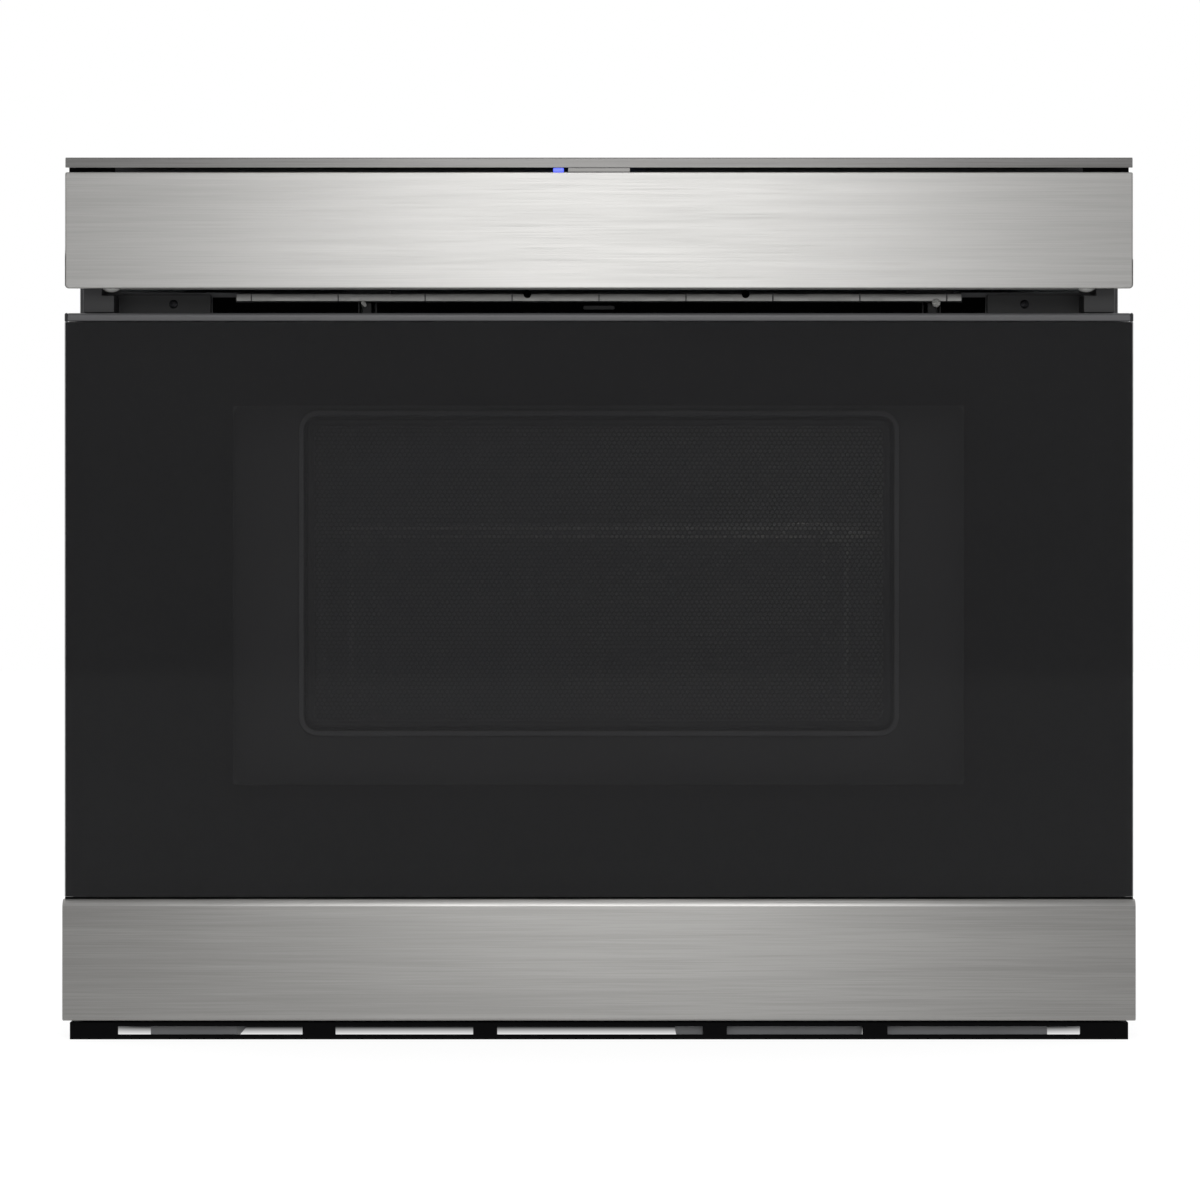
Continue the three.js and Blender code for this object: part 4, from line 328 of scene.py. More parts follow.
def moulded(name, dark, light, roughness, grain_mm=0.8, depth_mm=0.02, **constants):
    """Plastic, rubber or ceramic: a fine grain of real size in tone, roughness and bump."""
    tree, shader = finish(name, **constants)
    pores = grain(tree, grain_mm, detail=2.0)
    drift = grain(tree, 40, detail=2.0)
    mixed = times(tree, span(tree, pores, 0.9, 1.0), span(tree, drift, 0.9, 1.0))
    rough = span(tree, pores, roughness - 0.05, roughness + 0.05)
    wear(tree, shader, shade(tree, mixed, dark, light, 0.8, 1.0), rough, pores, depth_mm)


polished("chromed_wire", "#d4d5d7", "#e2e3e4", 0.08)
polished("plain_aluminium", "#b4b7ba", "#c4c7c9", 0.3)
polished("zinc_screw", "#9fa1a3", "#b4b6b7", 0.28)
polished("black_screw", "#2c2c2e", "#3a3a3c", 0.35)
moulded("glass_ceramic", "#d9d7d1", "#e4e2dc", 0.2, 6, 0.01, IOR=1.54)
moulded("lamp_porcelain", "#dcdad4", "#e8e6e0", 0.25, 4, 0.01)
moulded("white_nylon", "#ecece8", "#f8f8f4", 0.45, IOR=1.53)
# Near-black, far darker than the black plastic: the vent's own black with painted shade in it. The
# shelf ends take it as painted shade.
moulded("vent_black_and_painted_shade", "#020203", "#050506", 0.6, Specular_IOR_Level=0.06)
moulded("black_plastic", "#161617", "#1f1f21", 0.5, 0.5, 0.03)
moulded("housing_plastic", "#39393b", "#434345", 0.55, 0.5, 0.03)
# A near-black, rough and dull, that stands for the shade in gaps at the front: painted shade.
moulded("painted_shade_black", "#030303", "#060606", 0.9, 1.2, 0.1, Specular_IOR_Level=0.05)
moulded("gasket_rubber", "#1e1e20", "#29292b", 0.75, 0.6, 0.04)
moulded("varnished_core", "#5d4232", "#71503b", 0.4, 0.5, 0.05)
moulded("green_board", "#214a2e", "#2b5a39", 0.35, 2.5, 0.03, Coat_Weight=0.3)
print(len(finishes), "finishes so far")

# %% [markdown]
# ## Glass, print and light
# The door's outer pane is smoked glass: it lets about a fifth of the light through, which alpha
# gives without noise, once at its front and once at its back. Behind its rim lies a black ceramic
# print, so that only the middle is see-through. The status lens is a blue light seen through a
# milky plastic: a soft emission.

# %% Glass and light
def glass(name, dark, light, roughness, **constants):
    """A pane with the faintest smear in its polish."""
    tree, shader = finish(name, **constants)
    smear = grain(tree, 30, (3, 1, 1), 3.0)
    rough = span(tree, smear, roughness, roughness + 0.02)
    wear(tree, shader, shade(tree, smear, dark, light), rough)


glass("smoked_glass", "#303031", "#313132", 0.02, IOR=1.5, Alpha=0.54, Specular_IOR_Level=0.09)
glass("black_ceramic_print", "#0c0c0d", "#0f0f10", 0.4, Specular_IOR_Level=0.1)
glass("black_control_glass", "#0b0b0c", "#0e0e0f", 0.06, IOR=1.5)
glass("clear_glass", "#dfe6e4", "#e8edeb", 0.0, IOR=1.5, Alpha=0.25, Specular_IOR_Level=0.5)
glass("white_legend_print", "#c9c9c7", "#d4d4d2", 0.5)
blue = {"Emission_Color": linear("#5563ff"), "Emission_Strength": 1.0}
glass("status_light", "#5a68ff", "#6e7aff", 0.3, **blue)
pale_blue = {"Emission_Color": linear("#8fb8ff"), "Emission_Strength": 0.8}
glass("lit_digits", "#9fc4ff", "#b4d0ff", 0.4, **pale_blue)
print(len(finishes), "finishes in all")

# %% [markdown]
# ## A finish for every solid
# Each solid of the frame takes a finish by name. This is done before any new piece is made,
# because a copy of a solid then starts with the right one.

# %% Dress the frame's own solids
SOLIDS_IN = {
    "fascia_steel": "control_fascia",
    # The band's and the trim's darker steels are painted shade.
    "band_steel_painted_shade": "door_lower_band",
    "trim_steel_painted_shade": "top_trim finger_tab",
    "galvanised_sheet": "base_plate outer_wrapper back_panel convection_housing",
    "rail_zinc": "rail_outer_left rail_outer_right rail_middle_left rail_middle_right "
    "rail_inner_left rail_inner_right waveguide convection_motor stirrer_motor drive_motor",
    "plain_aluminium": "convection_fan stirrer_antenna magnetron hv_capacitor",
    "chromed_wire": "wire_rack",
    "frame_paint": "front_frame",
    "bracket_paint_with_painted_shade": "hinge_bracket_left hinge_bracket_right",
    "runner_paint": "runner_left runner_centre runner_right",
    "door_trim_paint": "door_top_trim heater_ring",
    "door_tray_paint": "door_tray",
    "choke_panel_paint": "door_choke_panel",
    "screen_paint": "window_screen",
    "cavity_enamel": "oven_cavity fan_grille drawer_pan pan_rear_screen",
    "glass_ceramic": "ceramic_tray",
    "lamp_porcelain": "oven_lamp",
    "white_nylon": "hinge_bush_left hinge_bush_right drive_rack drive_pinion rack_guide",
    "black_plastic": "latch_hook_left latch_hook_right interlock_bracket cord_gland "
    "cooling_fan_frame cooling_fan",
    "housing_plastic": "control_housing",
    # The vent's near-black holds painted shade.
    "vent_black_and_painted_shade": "bottom_vent_grille",
    "gasket_rubber": "door_gasket",
    "smoked_glass": "door_outer_glass",
    "clear_glass": "door_inner_glass",
    "black_control_glass": "control_glass",
    "status_light": "status_lens",
    "varnished_core": "hv_transformer",
    "green_board": "power_board",
}
finish_of = {node: name for name, nodes in SOLIDS_IN.items() for node in nodes.split()}
for node, name in finish_of.items():
    materials = frame["nodes"][node].data.materials
    materials.clear()
    materials.append(finishes[name])
print("dressed", len(finish_of), "of", len(frame["nodes"]), "solids")

# %% [markdown]
# ## Meshes from surfaces
# A new piece is a stack of rings: each ring is a closed row of points, and neighbouring rings are
# joined by four-sided faces. A pane, a screw, a wire and a gasket all come out of that one idea,
# with a cap on the first and the last ring, or the last ring joined back to the first.


# %% Build a mesh from rings
def ring_faces(rings, points, wrapped):
    """Faces between ring i and i + 1 and between point j and j + 1, with j wrapping round."""
    i = np.arange(rings if wrapped else rings - 1)[:, None]
    j = np.arange(points)[None, :]
    k, m = (i + 1) % rings, (j + 1) % points
    corners = [i * points + j, i * points + m, k * points + m, k * points + j]
    return np.stack(np.broadcast_arrays(*corners), -1).reshape(-1, 4).tolist()


def skin(rings, wrapped=False):
    """Points and faces of a closed body from an array of rings, shaped (rings, points, 3)."""
    rings = np.asarray(rings, float)
    count, points = rings.shape[:2]
    faces = ring_faces(count, points, wrapped)
    if not wrapped:
        faces.append(list(range(points))[::-1])
        faces.append([(count - 1) * points + j for j in range(points)])
    return rings.reshape(-1, 3), faces


def merged(parts):
    """Several bodies as one list of points and faces."""
    points, faces, start = [], [], 0
    for body_points, body_faces in parts:
        points.append(body_points)
        faces += [[start + index for index in face] for face in body_faces]
        start += len(body_points)
    return np.concatenate(points), faces


# %% Make a piece of a mesh
SMOOTH_DEGREES = 35  # a sharper edge than this is shaded as an edge
SAME_POINT = 1e-7  # metres


def closed_mesh(name, body):
    """Points in millimetres and faces as a mesh, its doubles merged and its faces outwards."""
    points, faces = body
    mesh = bpy.data.meshes.new(name)
    mesh.from_pydata((np.asarray(points) * MM).tolist(), [], faces)
    work = bmesh.new()
    work.from_mesh(mesh)
    bmesh.ops.remove_doubles(work, verts=work.verts, dist=SAME_POINT)
    bmesh.ops.recalc_face_normals(work, faces=work.faces)
    work.to_mesh(mesh)
    work.free()
    return mesh


def shaded(mesh, degrees=SMOOTH_DEGREES):
    """Smooth shading, with an edge wherever two faces meet at more than an angle."""
    mesh.shade_smooth()
    mesh.set_sharp_from_angle(angle=math.radians(degrees))


def declared(piece, body_name, nodes):
    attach(piece, body_name)
    if nodes:
        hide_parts(*nodes)
    return piece


def make_piece(name, body, finish_name, body_name, nodes=(), smooth=SMOOTH_DEGREES):
    """A body of points and faces as a declared piece in its finish."""
    mesh = closed_mesh(name, body)
    shaded(mesh, smooth)
    mesh.materials.append(finishes[finish_name])
    print(f"{name}: {len(mesh.polygons)} faces")
    return declared(placed(name, mesh), body_name, nodes)


def evaluated(piece):
    """A new mesh of an object as its modifiers or its font shape it."""
    bpy.context.view_layer.update()
    graph = bpy.context.evaluated_depsgraph_get()
    return bpy.data.meshes.new_from_object(piece.evaluated_get(graph))


def box_mm(node):
    """The lowest and highest corners of a solid, in millimetres."""
    low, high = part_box(node)
    return np.array(low) / MM, np.array(high) / MM


# %% [markdown]
# ## Rounded edges on the folded metal
# The solids have knife edges, and real sheet has a small radius at every fold, which is where the
# light catches. A copy of the solid has its shared corners merged and its flat faces made whole,
# and a Bevel modifier then rounds each edge. The copy stands for the solid, which stays hidden in
# its place.


# %% Round the edges of a solid's copy
WELD = 2e-6  # metres
FLAT_DEGREES = 1  # faces that meet at less are one flat face
EDGE_DEGREES = 28  # a sharper edge than this is rounded


def merged_copy(node):
    """A solid's mesh copied, and as a bmesh with its corners merged and its flat faces whole."""
    mesh = frame["nodes"][node].data.copy()
    if "custom_normal" in mesh.attributes:
        mesh.attributes.remove(mesh.attributes["custom_normal"])
    work = bmesh.new()
    work.from_mesh(mesh)
    bmesh.ops.remove_doubles(work, verts=work.verts, dist=WELD)
    flat = math.radians(FLAT_DEGREES)
    bmesh.ops.dissolve_limit(work, angle_limit=flat, verts=work.verts, edges=work.edges)
    return mesh, work


def eased(node, radius_mm, segments=2):
    """A copy of a solid, its edges rounded by a bevel after the wider rounds in LARGE."""
    mesh, work = merged_copy(node)
    for offset_mm, test in LARGE.get(node, []):
        chosen = [edge for edge in work.edges if test(*[vertex.co / MM for vertex in edge.verts])]
        print(node, len(chosen), "edges rounded by", offset_mm, "mm")
        width = offset_mm * MM
        bmesh.ops.bevel(work, geom=chosen, offset=width, segments=4, profile=0.5, affect="EDGES")
    work.to_mesh(mesh)
    work.free()
    mesh.shade_smooth()
    piece = placed(f"{node}_eased", mesh)
    bevel = piece.modifiers.new("rounded_edges", "BEVEL")
    bevel.width = radius_mm * MM
    bevel.segments = segments
    bevel.limit_method = "ANGLE"
    bevel.angle_limit = math.radians(EDGE_DEGREES)
    bevel.use_clamp_overlap = node not in LARGE
    bevel.harden_normals = True
    return declared(piece, body_of[node], [node])


# %% The edges with a wider round
FRONT_MM = front_y / MM
FASCIA_SIDE, FASCIA_FOOT = 301.6, 425
BAND_TOP, BAND_ROLL, BAND_FOOT = 76.4, 79.4, 10.8
ROLL_DEPTH = 3
LONG_MM, NEAR_MM = 500, 0.1


def at_corner(a, b):
    """An edge that runs back from one of the fascia's two lower corners."""
    outermost = min(abs(a.x), abs(b.x)) > FASCIA_SIDE and max(a.z, b.z) < FASCIA_FOOT
    return outermost and abs(a.y - b.y) > 0.5 and min(a.y, b.y) < FRONT_MM + NEAR_MM


def along_fold(y, z):
    """A test for an edge along X at a depth and a height."""

    def test(a, b):
        near = all(abs(c.y - y) < NEAR_MM and abs(c.z - z) < NEAR_MM for c in (a, b))
        return near and abs(a.x - b.x) > LONG_MM

    return test


LARGE = {
    "control_fascia": [(2.2, at_corner)],
    "door_lower_band": [
        (1.4, along_fold(FRONT_MM, BAND_TOP)),
        (1.4, along_fold(FRONT_MM + ROLL_DEPTH, BAND_ROLL)),
        (1.6, along_fold(FRONT_MM, BAND_FOOT)),
    ],
}
EASED = {
    "control_fascia": (1.0, 3),
    "door_lower_band": (0.4, 2),
    "top_trim": (0.6, 3),
    "door_top_trim": (1.0, 3),
    "hinge_bracket_left": (0.5, 2),
    "hinge_bracket_right": (0.5, 2),
    "bottom_vent_grille": (0.4, 2),
    "runner_left": (0.5, 2),
    "runner_centre": (0.5, 2),
    "runner_right": (0.5, 2),
    "control_housing": (0.6, 2),
    "control_glass": (0.5, 2),
    "finger_tab": (0.15, 2),
    "status_lens": (0.5, 3),
    "outer_wrapper": (0.5, 2),
    "drawer_pan": (0.4, 2),
    "ceramic_tray": (1.2, 3),
    "door_choke_panel": (0.5, 2),
    "latch_hook_left": (0.4, 2),
    "latch_hook_right": (0.4, 2),
}
easings = {node: eased(node, *sizes) for node, sizes in EASED.items()}
print("rounded the edges of", len(easings), "solids")

# %% [markdown]
# Some faces are finished apart from the rest of their solid. The lower band's sloping upper edge,
# which looks up, is a brighter copy of its steel: a painted highlight. The bead pressed round the
# window is a lighter grey on its forward faces. Such faces are found by where they lie or face,
# and take the copy's second finish.


# %% Second finishes on a solid's faces
def refinish(node, finish_name, chosen):
    """Gives the second finish to each face whose centre in millimetres and normal pass a test."""
    mesh = easings[node].data
    mesh.materials.append(finishes[finish_name])
    for face in mesh.polygons:
        if chosen(face.center / MM, face.normal):
            face.material_index = 1
    print(node, sum(face.material_index for face in mesh.polygons), "faces in", finish_name)


def on_slope(centre, normal):
    """A face of the band that leans back and looks up."""
    return normal.y < -0.05 and normal.z > 0.15


def on_bead(centre, normal):
    """A face that looks forward from in front of the panel round the bead."""
    return normal.y < -0.9 and centre.y < BEAD_FRONT


BEAD_FRONT = -264
# The band's slope, which looks up, takes the brighter steel: a painted highlight.
refinish("door_lower_band", "slope_painted_highlight", on_slope)
# The bead's forward faces take the lighter grey.
refinish("door_choke_panel", "bead_paint", on_bead)

# %% [markdown]
# ## The door's outer pane and its print
# The pane is cut with rounded corners and its edges are ground to a small flat, the arris, that
# shows as a thin line of light. It is a stack of rounded rectangles: each ring is the outline
# moved in by some amount, at its own depth. The print is a thin layer on the pane's back with a
# window in it.


# %% Outlines, and rounded rectangles at several depths
CORNER_STEPS = 9


def rounded_outline(x, z, radius, inset=0.0):
    """Points round a rectangle: at each corner a quarter circle, centred in by the radius."""
    turns = np.linspace(0, np.pi / 2, CORNER_STEPS)
    signs = np.array([(1, 1), (-1, 1), (-1, -1), (1, -1)])
    angle = turns[None, :] + np.arange(4)[:, None] * np.pi / 2
    centre_x = np.where(signs[:, 0] > 0, x[1] - radius, x[0] + radius)[:, None]
    centre_z = np.where(signs[:, 1] > 0, z[1] - radius, z[0] + radius)[:, None]
    reach = radius - inset
    round_x, round_z = centre_x + reach * np.cos(angle), centre_z + reach * np.sin(angle)
    return np.stack([round_x, round_z], -1).reshape(-1, 2)


def circle(centre, radius, points):
    """Points round a centre: radius times (cos a, sin a), for even steps of a."""
    angle = np.arange(points) * 2 * np.pi / points
    return np.asarray(centre) + radius * np.column_stack([np.cos(angle), np.sin(angle)])


def upright(outline, depth):
    """An (x, z) outline placed at a depth y."""
    return np.insert(outline, 1, depth, axis=1)


def lying(outline, level):
    """An (x, y) outline placed at a height z."""
    return np.insert(outline, 2, level, axis=1)


def prism(outline, *depths):
    """A closed body with the same upright outline at each depth."""
    return skin([upright(outline, depth) for depth in depths])


def stacked(x, z, radius, steps):
    """The rings of a rounded rectangle, one for each (inset, depth y)."""
    return [upright(rounded_outline(x, z, radius, inset), depth) for inset, depth in steps]


# %% The outer pane and the near-black rest under it, painted shade
ARRIS_MM = 0.25
PANE_CORNER = 0.6
PANE_GAP = 0.9  # the dark line left over the lower band
REST_INSET, REST_CORNER, REST_CLEARANCE = 0.1, 0.2, 0.02
REST_FRONT, REST_BACK = 0.4, 0.1  # how far it lies behind the pane's face and before its back

low, high = box_mm("door_outer_glass")
x, z, y = (low[0], high[0]), (low[2] + PANE_GAP, high[2]), (low[1], high[1])
arris = [(ARRIS_MM, y[0]), (0.0, y[0] + ARRIS_MM), (0.0, y[1] - ARRIS_MM), (ARRIS_MM, y[1])]
pane = skin(stacked(x, z, PANE_CORNER, arris))
make_piece("outer_pane", pane, "smoked_glass", "drawer", ["door_outer_glass"], 20)
rest_x = (x[0] + REST_INSET, x[1] - REST_INSET)
rest_z = (low[2] + REST_CLEARANCE, low[2] + PANE_GAP - REST_CLEARANCE)
rest_steps = [(0, y[0] + REST_FRONT), (0, y[1] - REST_BACK)]
rest = skin(stacked(rest_x, rest_z, REST_CORNER, rest_steps))
# The rest is near-black: painted shade in the dark line under the pane.
make_piece("pane_rest", rest, "painted_shade_black", "drawer")

# %% The black print behind the pane
PRINT_MM = 0.06
PRINT_GAP = 0.05
RIM_INSET = 0.1
WINDOW_LEFT, WINDOW_RIGHT = 232, 965  # columns of the see-through middle in the photograph
WINDOW_TOP, WINDOW_BOTTOM = 405, 785  # and its rows


def from_photo(column, row):
    """A pixel of the photograph as (x, z) millimetres on the front."""
    return (column - MIDDLE_COLUMN) * MM_PER_PIXEL, (UNDERSIDE_ROW - row) * MM_PER_PIXEL


lower_left = from_photo(WINDOW_LEFT, WINDOW_BOTTOM)
upper_right = from_photo(WINDOW_RIGHT, WINDOW_TOP)
window_x, window_z = zip(lower_left, upper_right)
rim_x, rim_z = [(side[0] + RIM_INSET, side[1] - RIM_INSET) for side in (x, z)]
rim = rounded_outline(rim_x, rim_z, PANE_CORNER)
hole = rounded_outline(window_x, window_z, PANE_CORNER)
front, back = y[1] + PRINT_GAP, y[1] + PRINT_GAP + PRINT_MM
layer = [upright(rim, front), upright(rim, back), upright(hole, back), upright(hole, front)]
make_piece("pane_print", skin(layer, True), "black_ceramic_print", "drawer")
print("window", np.round(window_x, 1), np.round(window_z, 1))

# %% [markdown]
# ## The perforated window screen
# Microwaves are about 12 cm long and can't pass holes of a millimetre or two, but light can: the
# screen is a sheet full of small holes in a honeycomb pattern. The real ones are about 1.8 mm
# apart; these are drawn 2.7 mm apart, still finer than shows through smoked glass. The plane is
# tiled with hexagons, and each holds a smaller hexagon for its hole, so the sheet between is one
# mesh with shared corners.


# %% Honeycomb sheet
HOLE_PITCH_MM = 2.7
HOLE_SHARE = 0.72  # of the pitch, the hole's width
SHEET_INSET = 0.2


def honeycomb(x, z, pitch, share):
    """Six faces between each cell's outer and inner hexagon, for all cells in a rectangle."""
    side = pitch / math.sqrt(3)
    rows = int((z[1] - z[0] - 2 * side) / (1.5 * side))
    columns = int((x[1] - x[0] - 1.5 * pitch) / pitch)
    row, column = np.meshgrid(np.arange(rows), np.arange(columns), indexing="ij")
    centre_x = (x[0] + x[1] - (columns - 0.5) * pitch) / 2 + (column + 0.5 * (row % 2)) * pitch
    centre_z = (z[0] + z[1] - (rows - 1) * 1.5 * side) / 2 + row * 1.5 * side
    centre = np.stack([centre_x, centre_z], -1).reshape(-1, 1, 2)
    angle = np.pi / 6 + np.arange(6) * np.pi / 3
    corner = np.stack([np.cos(angle), np.sin(angle)], -1)[None]
    hexagons = [centre + side * corner, centre + side * share * corner]
    points = np.concatenate(hexagons, 1).reshape(-1, 2)
    j = np.arange(6)
    cell = np.stack([j, (j + 1) % 6, (j + 1) % 6 + 6, j + 6], -1)
    faces = (cell[None] + 12 * np.arange(len(centre))[:, None, None]).reshape(-1, 4)
    return points, faces.tolist()


low, high = box_mm("window_screen")
inner = ((low[0], high[0]), (low[2], high[2]))
points, faces = honeycomb(*inner, HOLE_PITCH_MM, HOLE_SHARE)
sheet_y = high[1] - SHEET_INSET
screen = (np.insert(points, 1, sheet_y, axis=1), faces)
make_piece("honeycomb_screen", screen, "screen_paint", "drawer", ["window_screen"])
print(len(faces) // 6, "holes")

# %% The seal round the window
SEAL_WIDTH = 2.2
SEAL_CORNER = 8
SEAL_ROUND = 0.5
SEAL_FACE, SEAL_SHOULDER, SEAL_FOOT = -264.6, -264.2, -262.2
BEAD_WIDTH = 3.2
BEAD_X, BEAD_Z = (-172, 172), (170.6, 357)

inner = [(a + BEAD_WIDTH, b - BEAD_WIDTH) for a, b in (BEAD_X, BEAD_Z)]
outer_half = [(0, SEAL_SHOULDER), (SEAL_ROUND, SEAL_FACE)]
inner_half = [(SEAL_WIDTH - SEAL_ROUND, SEAL_FACE), (SEAL_WIDTH, SEAL_SHOULDER)]
section = [*outer_half, *inner_half, (SEAL_WIDTH, SEAL_FOOT), (0, SEAL_FOOT)]
seal = skin(stacked(*inner, SEAL_CORNER, section), True)
make_piece("window_seal", seal, "gasket_rubber", "drawer")

# %% [markdown]
# ## The wire rack
# The rack is bent and spot-welded round wire. A wire is a circle carried along a path: at each
# point two directions square to the path carry the circle's points. The border is a closed loop
# with round corners, the bars are welded under it, and a bent hoop at each side is a foot.


# %% Carry a circle along a path
def wire(path, radius, sides=12, closed=False):
    """A round tube: at each point of the path, a circle square to the path's direction there."""
    path = np.asarray(path, float)
    if closed:
        along = np.roll(path, -1, 0) - np.roll(path, 1, 0)
    else:
        along = np.gradient(path, axis=0)
    along /= np.linalg.norm(along, axis=1, keepdims=True)
    spread = np.ptp(path, axis=0)
    flat = np.eye(3)[np.argmin(spread)]
    side = np.cross(along, flat)
    side /= np.linalg.norm(side, axis=1, keepdims=True)
    up = np.cross(side, along)
    angle = (np.arange(sides) * 2 * np.pi / sides)[None, :, None]
    ring = np.cos(angle) * side[:, None] + np.sin(angle) * up[:, None]
    return skin(path[:, None] + radius * ring, closed)


def bent(corners, radius, steps=6):
    """A path through corners, each replaced by a quadratic curve that reaches a radius away."""
    corners = np.asarray(corners, float)
    t = np.linspace(0, 1, steps)[:, None]
    runs = [corners[:1]]
    for before, corner, after in zip(corners, corners[1:], corners[2:]):
        start = corner + radius * (before - corner) / np.linalg.norm(before - corner)
        end = corner + radius * (after - corner) / np.linalg.norm(after - corner)
        runs.append((1 - t) ** 2 * start + 2 * t * (1 - t) * corner + t**2 * end)
    return np.concatenate([*runs, corners[-1:]])


# %% Build the rack
BORDER_WIRE = 2.4
BAR_WIRE = 1.5
RACK_CORNER = 24
BARS = 11
BAR_MARGIN = 30
FOOT_STEP, FOOT_END = 18, 40
FOOT_BEND = 8
LOWER_TIE = 24

low, high = box_mm("wire_rack")
x = (low[0] + BORDER_WIRE, high[0] - BORDER_WIRE)
y = (low[1] + BORDER_WIRE, high[1] - BORDER_WIRE)
level = high[2] - BORDER_WIRE
bar_level = level - BORDER_WIRE
foot_level = low[2] + BORDER_WIRE
outline = rounded_outline(x, y, RACK_CORNER - BORDER_WIRE)
wires = [wire(lying(outline, level), BORDER_WIRE, 14, True)]
for bar_x in np.linspace(x[0] + BAR_MARGIN, x[1] - BAR_MARGIN, BARS):
    wires.append(wire([(bar_x, y[0], bar_level), (bar_x, y[1], bar_level)], BAR_WIRE))
middle = sum(y) / 2
wires.append(wire([(x[0], middle, bar_level), (x[1], middle, bar_level)], BAR_WIRE))

# %% Its feet
ends = (y[0] + FOOT_END, y[1] - FOOT_END)
tie_level = foot_level - BORDER_WIRE + LOWER_TIE
for side in (0, 1):
    foot_x = x[side] + (FOOT_STEP if side == 0 else -FOOT_STEP)
    front, back = [np.array([foot_x, end, 0]) for end in ends]
    up, down, across = [(0, 0, level) for level in (bar_level, foot_level, tie_level)]
    hoop = bent([front + up, front + down, back + down, back + up], FOOT_BEND)
    wires.append(wire(hoop, BORDER_WIRE))
    wires.append(wire([front + across, back + across], BAR_WIRE))
    for foot_y in ends:
        brace = [(foot_x, foot_y, bar_level), (x[side], foot_y, bar_level)]
        wires.append(wire(brace, BORDER_WIRE))
make_piece("round_wire_rack", merged(wires), "chromed_wire", "drawer", ["wire_rack"], 60)

# %% [markdown]
# ## The door gasket
# The gasket is a rubber hoop with a rounded face that squashes a little against the frame. Its
# section, a low dome on a flat back, is carried round a rounded rectangle.

# %% Gasket
GASKET_MM = 10
GASKET_CORNER = 18

low, high = box_mm("door_gasket")
x, z = (low[0], high[0]), (low[2], high[2])
turn = np.linspace(0, np.pi, 9)
across = GASKET_MM / 2 * (1 - np.cos(turn))
height = (high[1] - low[1]) * np.sin(turn) ** 0.6
hoop = skin(stacked(x, z, GASKET_CORNER, zip(across, low[1] + height)), True)
make_piece("domed_gasket", hoop, "gasket_rubber", "drawer", ["door_gasket"])

# %% [markdown]
# ## Screws
# A pan-head screw is a low dome with a cross-shaped recess. On a grid of radius and angle, the
# height is the dome's, less a depth wherever the point lies on one of the two arms of the cross.
# All the screws of one sheet are one mesh.


# %% Screw heads
HEAD_STEPS, HEAD_POINTS = 9, 32
RIM_SHARE = 0.35  # of the height, the rim's
ARM_HALF, ARM_REACH = 0.13, 0.6  # of the radius, the cross's arms
CROSS_SHARE = 0.45  # of the height, the cross's depth


def screw_head(centre, out, radius=3.6, height=1.8):
    """A dome, height times (0.35 + 0.65 root(1 - r^2)), less the cross's depth on its arms."""
    out = np.asarray(out, float)
    helper = np.array([0.0, 0.0, 1.0]) if abs(out[2]) < 0.5 else np.array([1.0, 0.0, 0.0])
    side = np.cross(helper, out)
    up = np.cross(out, side)
    r = np.concatenate([[1.0], np.linspace(1.0, 0.02, HEAD_STEPS)])[:, None]
    angle = np.arange(HEAD_POINTS)[None, :] * 2 * np.pi / HEAD_POINTS
    u, v = r * np.cos(angle), r * np.sin(angle)
    dome = RIM_SHARE + (1 - RIM_SHARE) * np.sqrt(np.clip(1 - r**2, 0, 1))
    rise = height * dome * np.ones_like(u)
    rise[0] = 0
    arm = (np.minimum(np.abs(u), np.abs(v)) < ARM_HALF) & (np.hypot(u, v) < ARM_REACH)
    rise = np.where(arm, rise - CROSS_SHARE * height, rise)
    disc = radius * (u[..., None] * side + v[..., None] * up)
    return skin(np.asarray(centre, float) + disc + rise[..., None] * out)


def screws(name, places, finish_name, body_name, slot, **size):
    """One piece holding a screw at each (centre, outward direction)."""
    heads = [screw_head(centre, out, **size) for centre, out in places]
    return make_piece(name, merged(heads), finish_name, body_name, smooth=40)


# %% Place the screws
FOOT_SCREW = 49  # inwards from the bracket's outer side
FOOT_TOP = 424.5
FOOT_DEPTH = 3.9
REAR_ROW = 12
SIDE_MARGIN, TOP_MARGIN = 40, 60
FRONT_DIR, BACK_DIR = (0, -1, 0), (0, 1, 0)

low, high = box_mm("hinge_bracket_right")
foot_x, foot_y, foot_z = high[0] - FOOT_SCREW, high[1] - FOOT_DEPTH, (low[2] + FOOT_TOP) / 2
places = [((side * foot_x, foot_y, foot_z), FRONT_DIR) for side in (-1, 1)]
size = {"radius": 2.5, "height": 0.9}
screws("bracket_screws", places, "black_screw", "chassis", "dark_steel", **size)

low, high = box_mm("outer_wrapper")
rear = high[1] - REAR_ROW
heights = np.linspace(low[2] + SIDE_MARGIN, high[2] - SIDE_MARGIN, 4)
columns = np.linspace(low[0] + TOP_MARGIN, high[0] - TOP_MARGIN, 5)
places = [((x, rear, z), (np.sign(x), 0, 0)) for x in (low[0], high[0]) for z in heights]
places += [((x, rear, high[2]), (0, 0, 1)) for x in columns]
size = {"radius": 3.4, "height": 1.5}
screws("wrapper_screws", places, "zinc_screw", "chassis", "galvanised", **size)

# %% [markdown]
# The back panel's screws lie sunk, so that the oven can stand flat against a wall. A Boolean
# modifier cuts a shallow round recess for each one out of a copy of the panel, and its result
# becomes the copy's mesh.

# %% Cut the recesses in the back panel
BACK_EDGE = 8
SINK_MM = 0.55
SINK_RADIUS = 3.9

low, high = box_mm("back_panel")
columns = np.linspace(low[0] + BACK_EDGE, high[0] - BACK_EDGE, 5)
rows = np.linspace(low[2] + BACK_EDGE, high[2] - BACK_EDGE, 4)
ends_x, ends_z = columns[[0, -1]], rows[[0, -1]]
on_edge = [(cx, cz) for cx in columns for cz in rows if cx in ends_x or cz in ends_z]


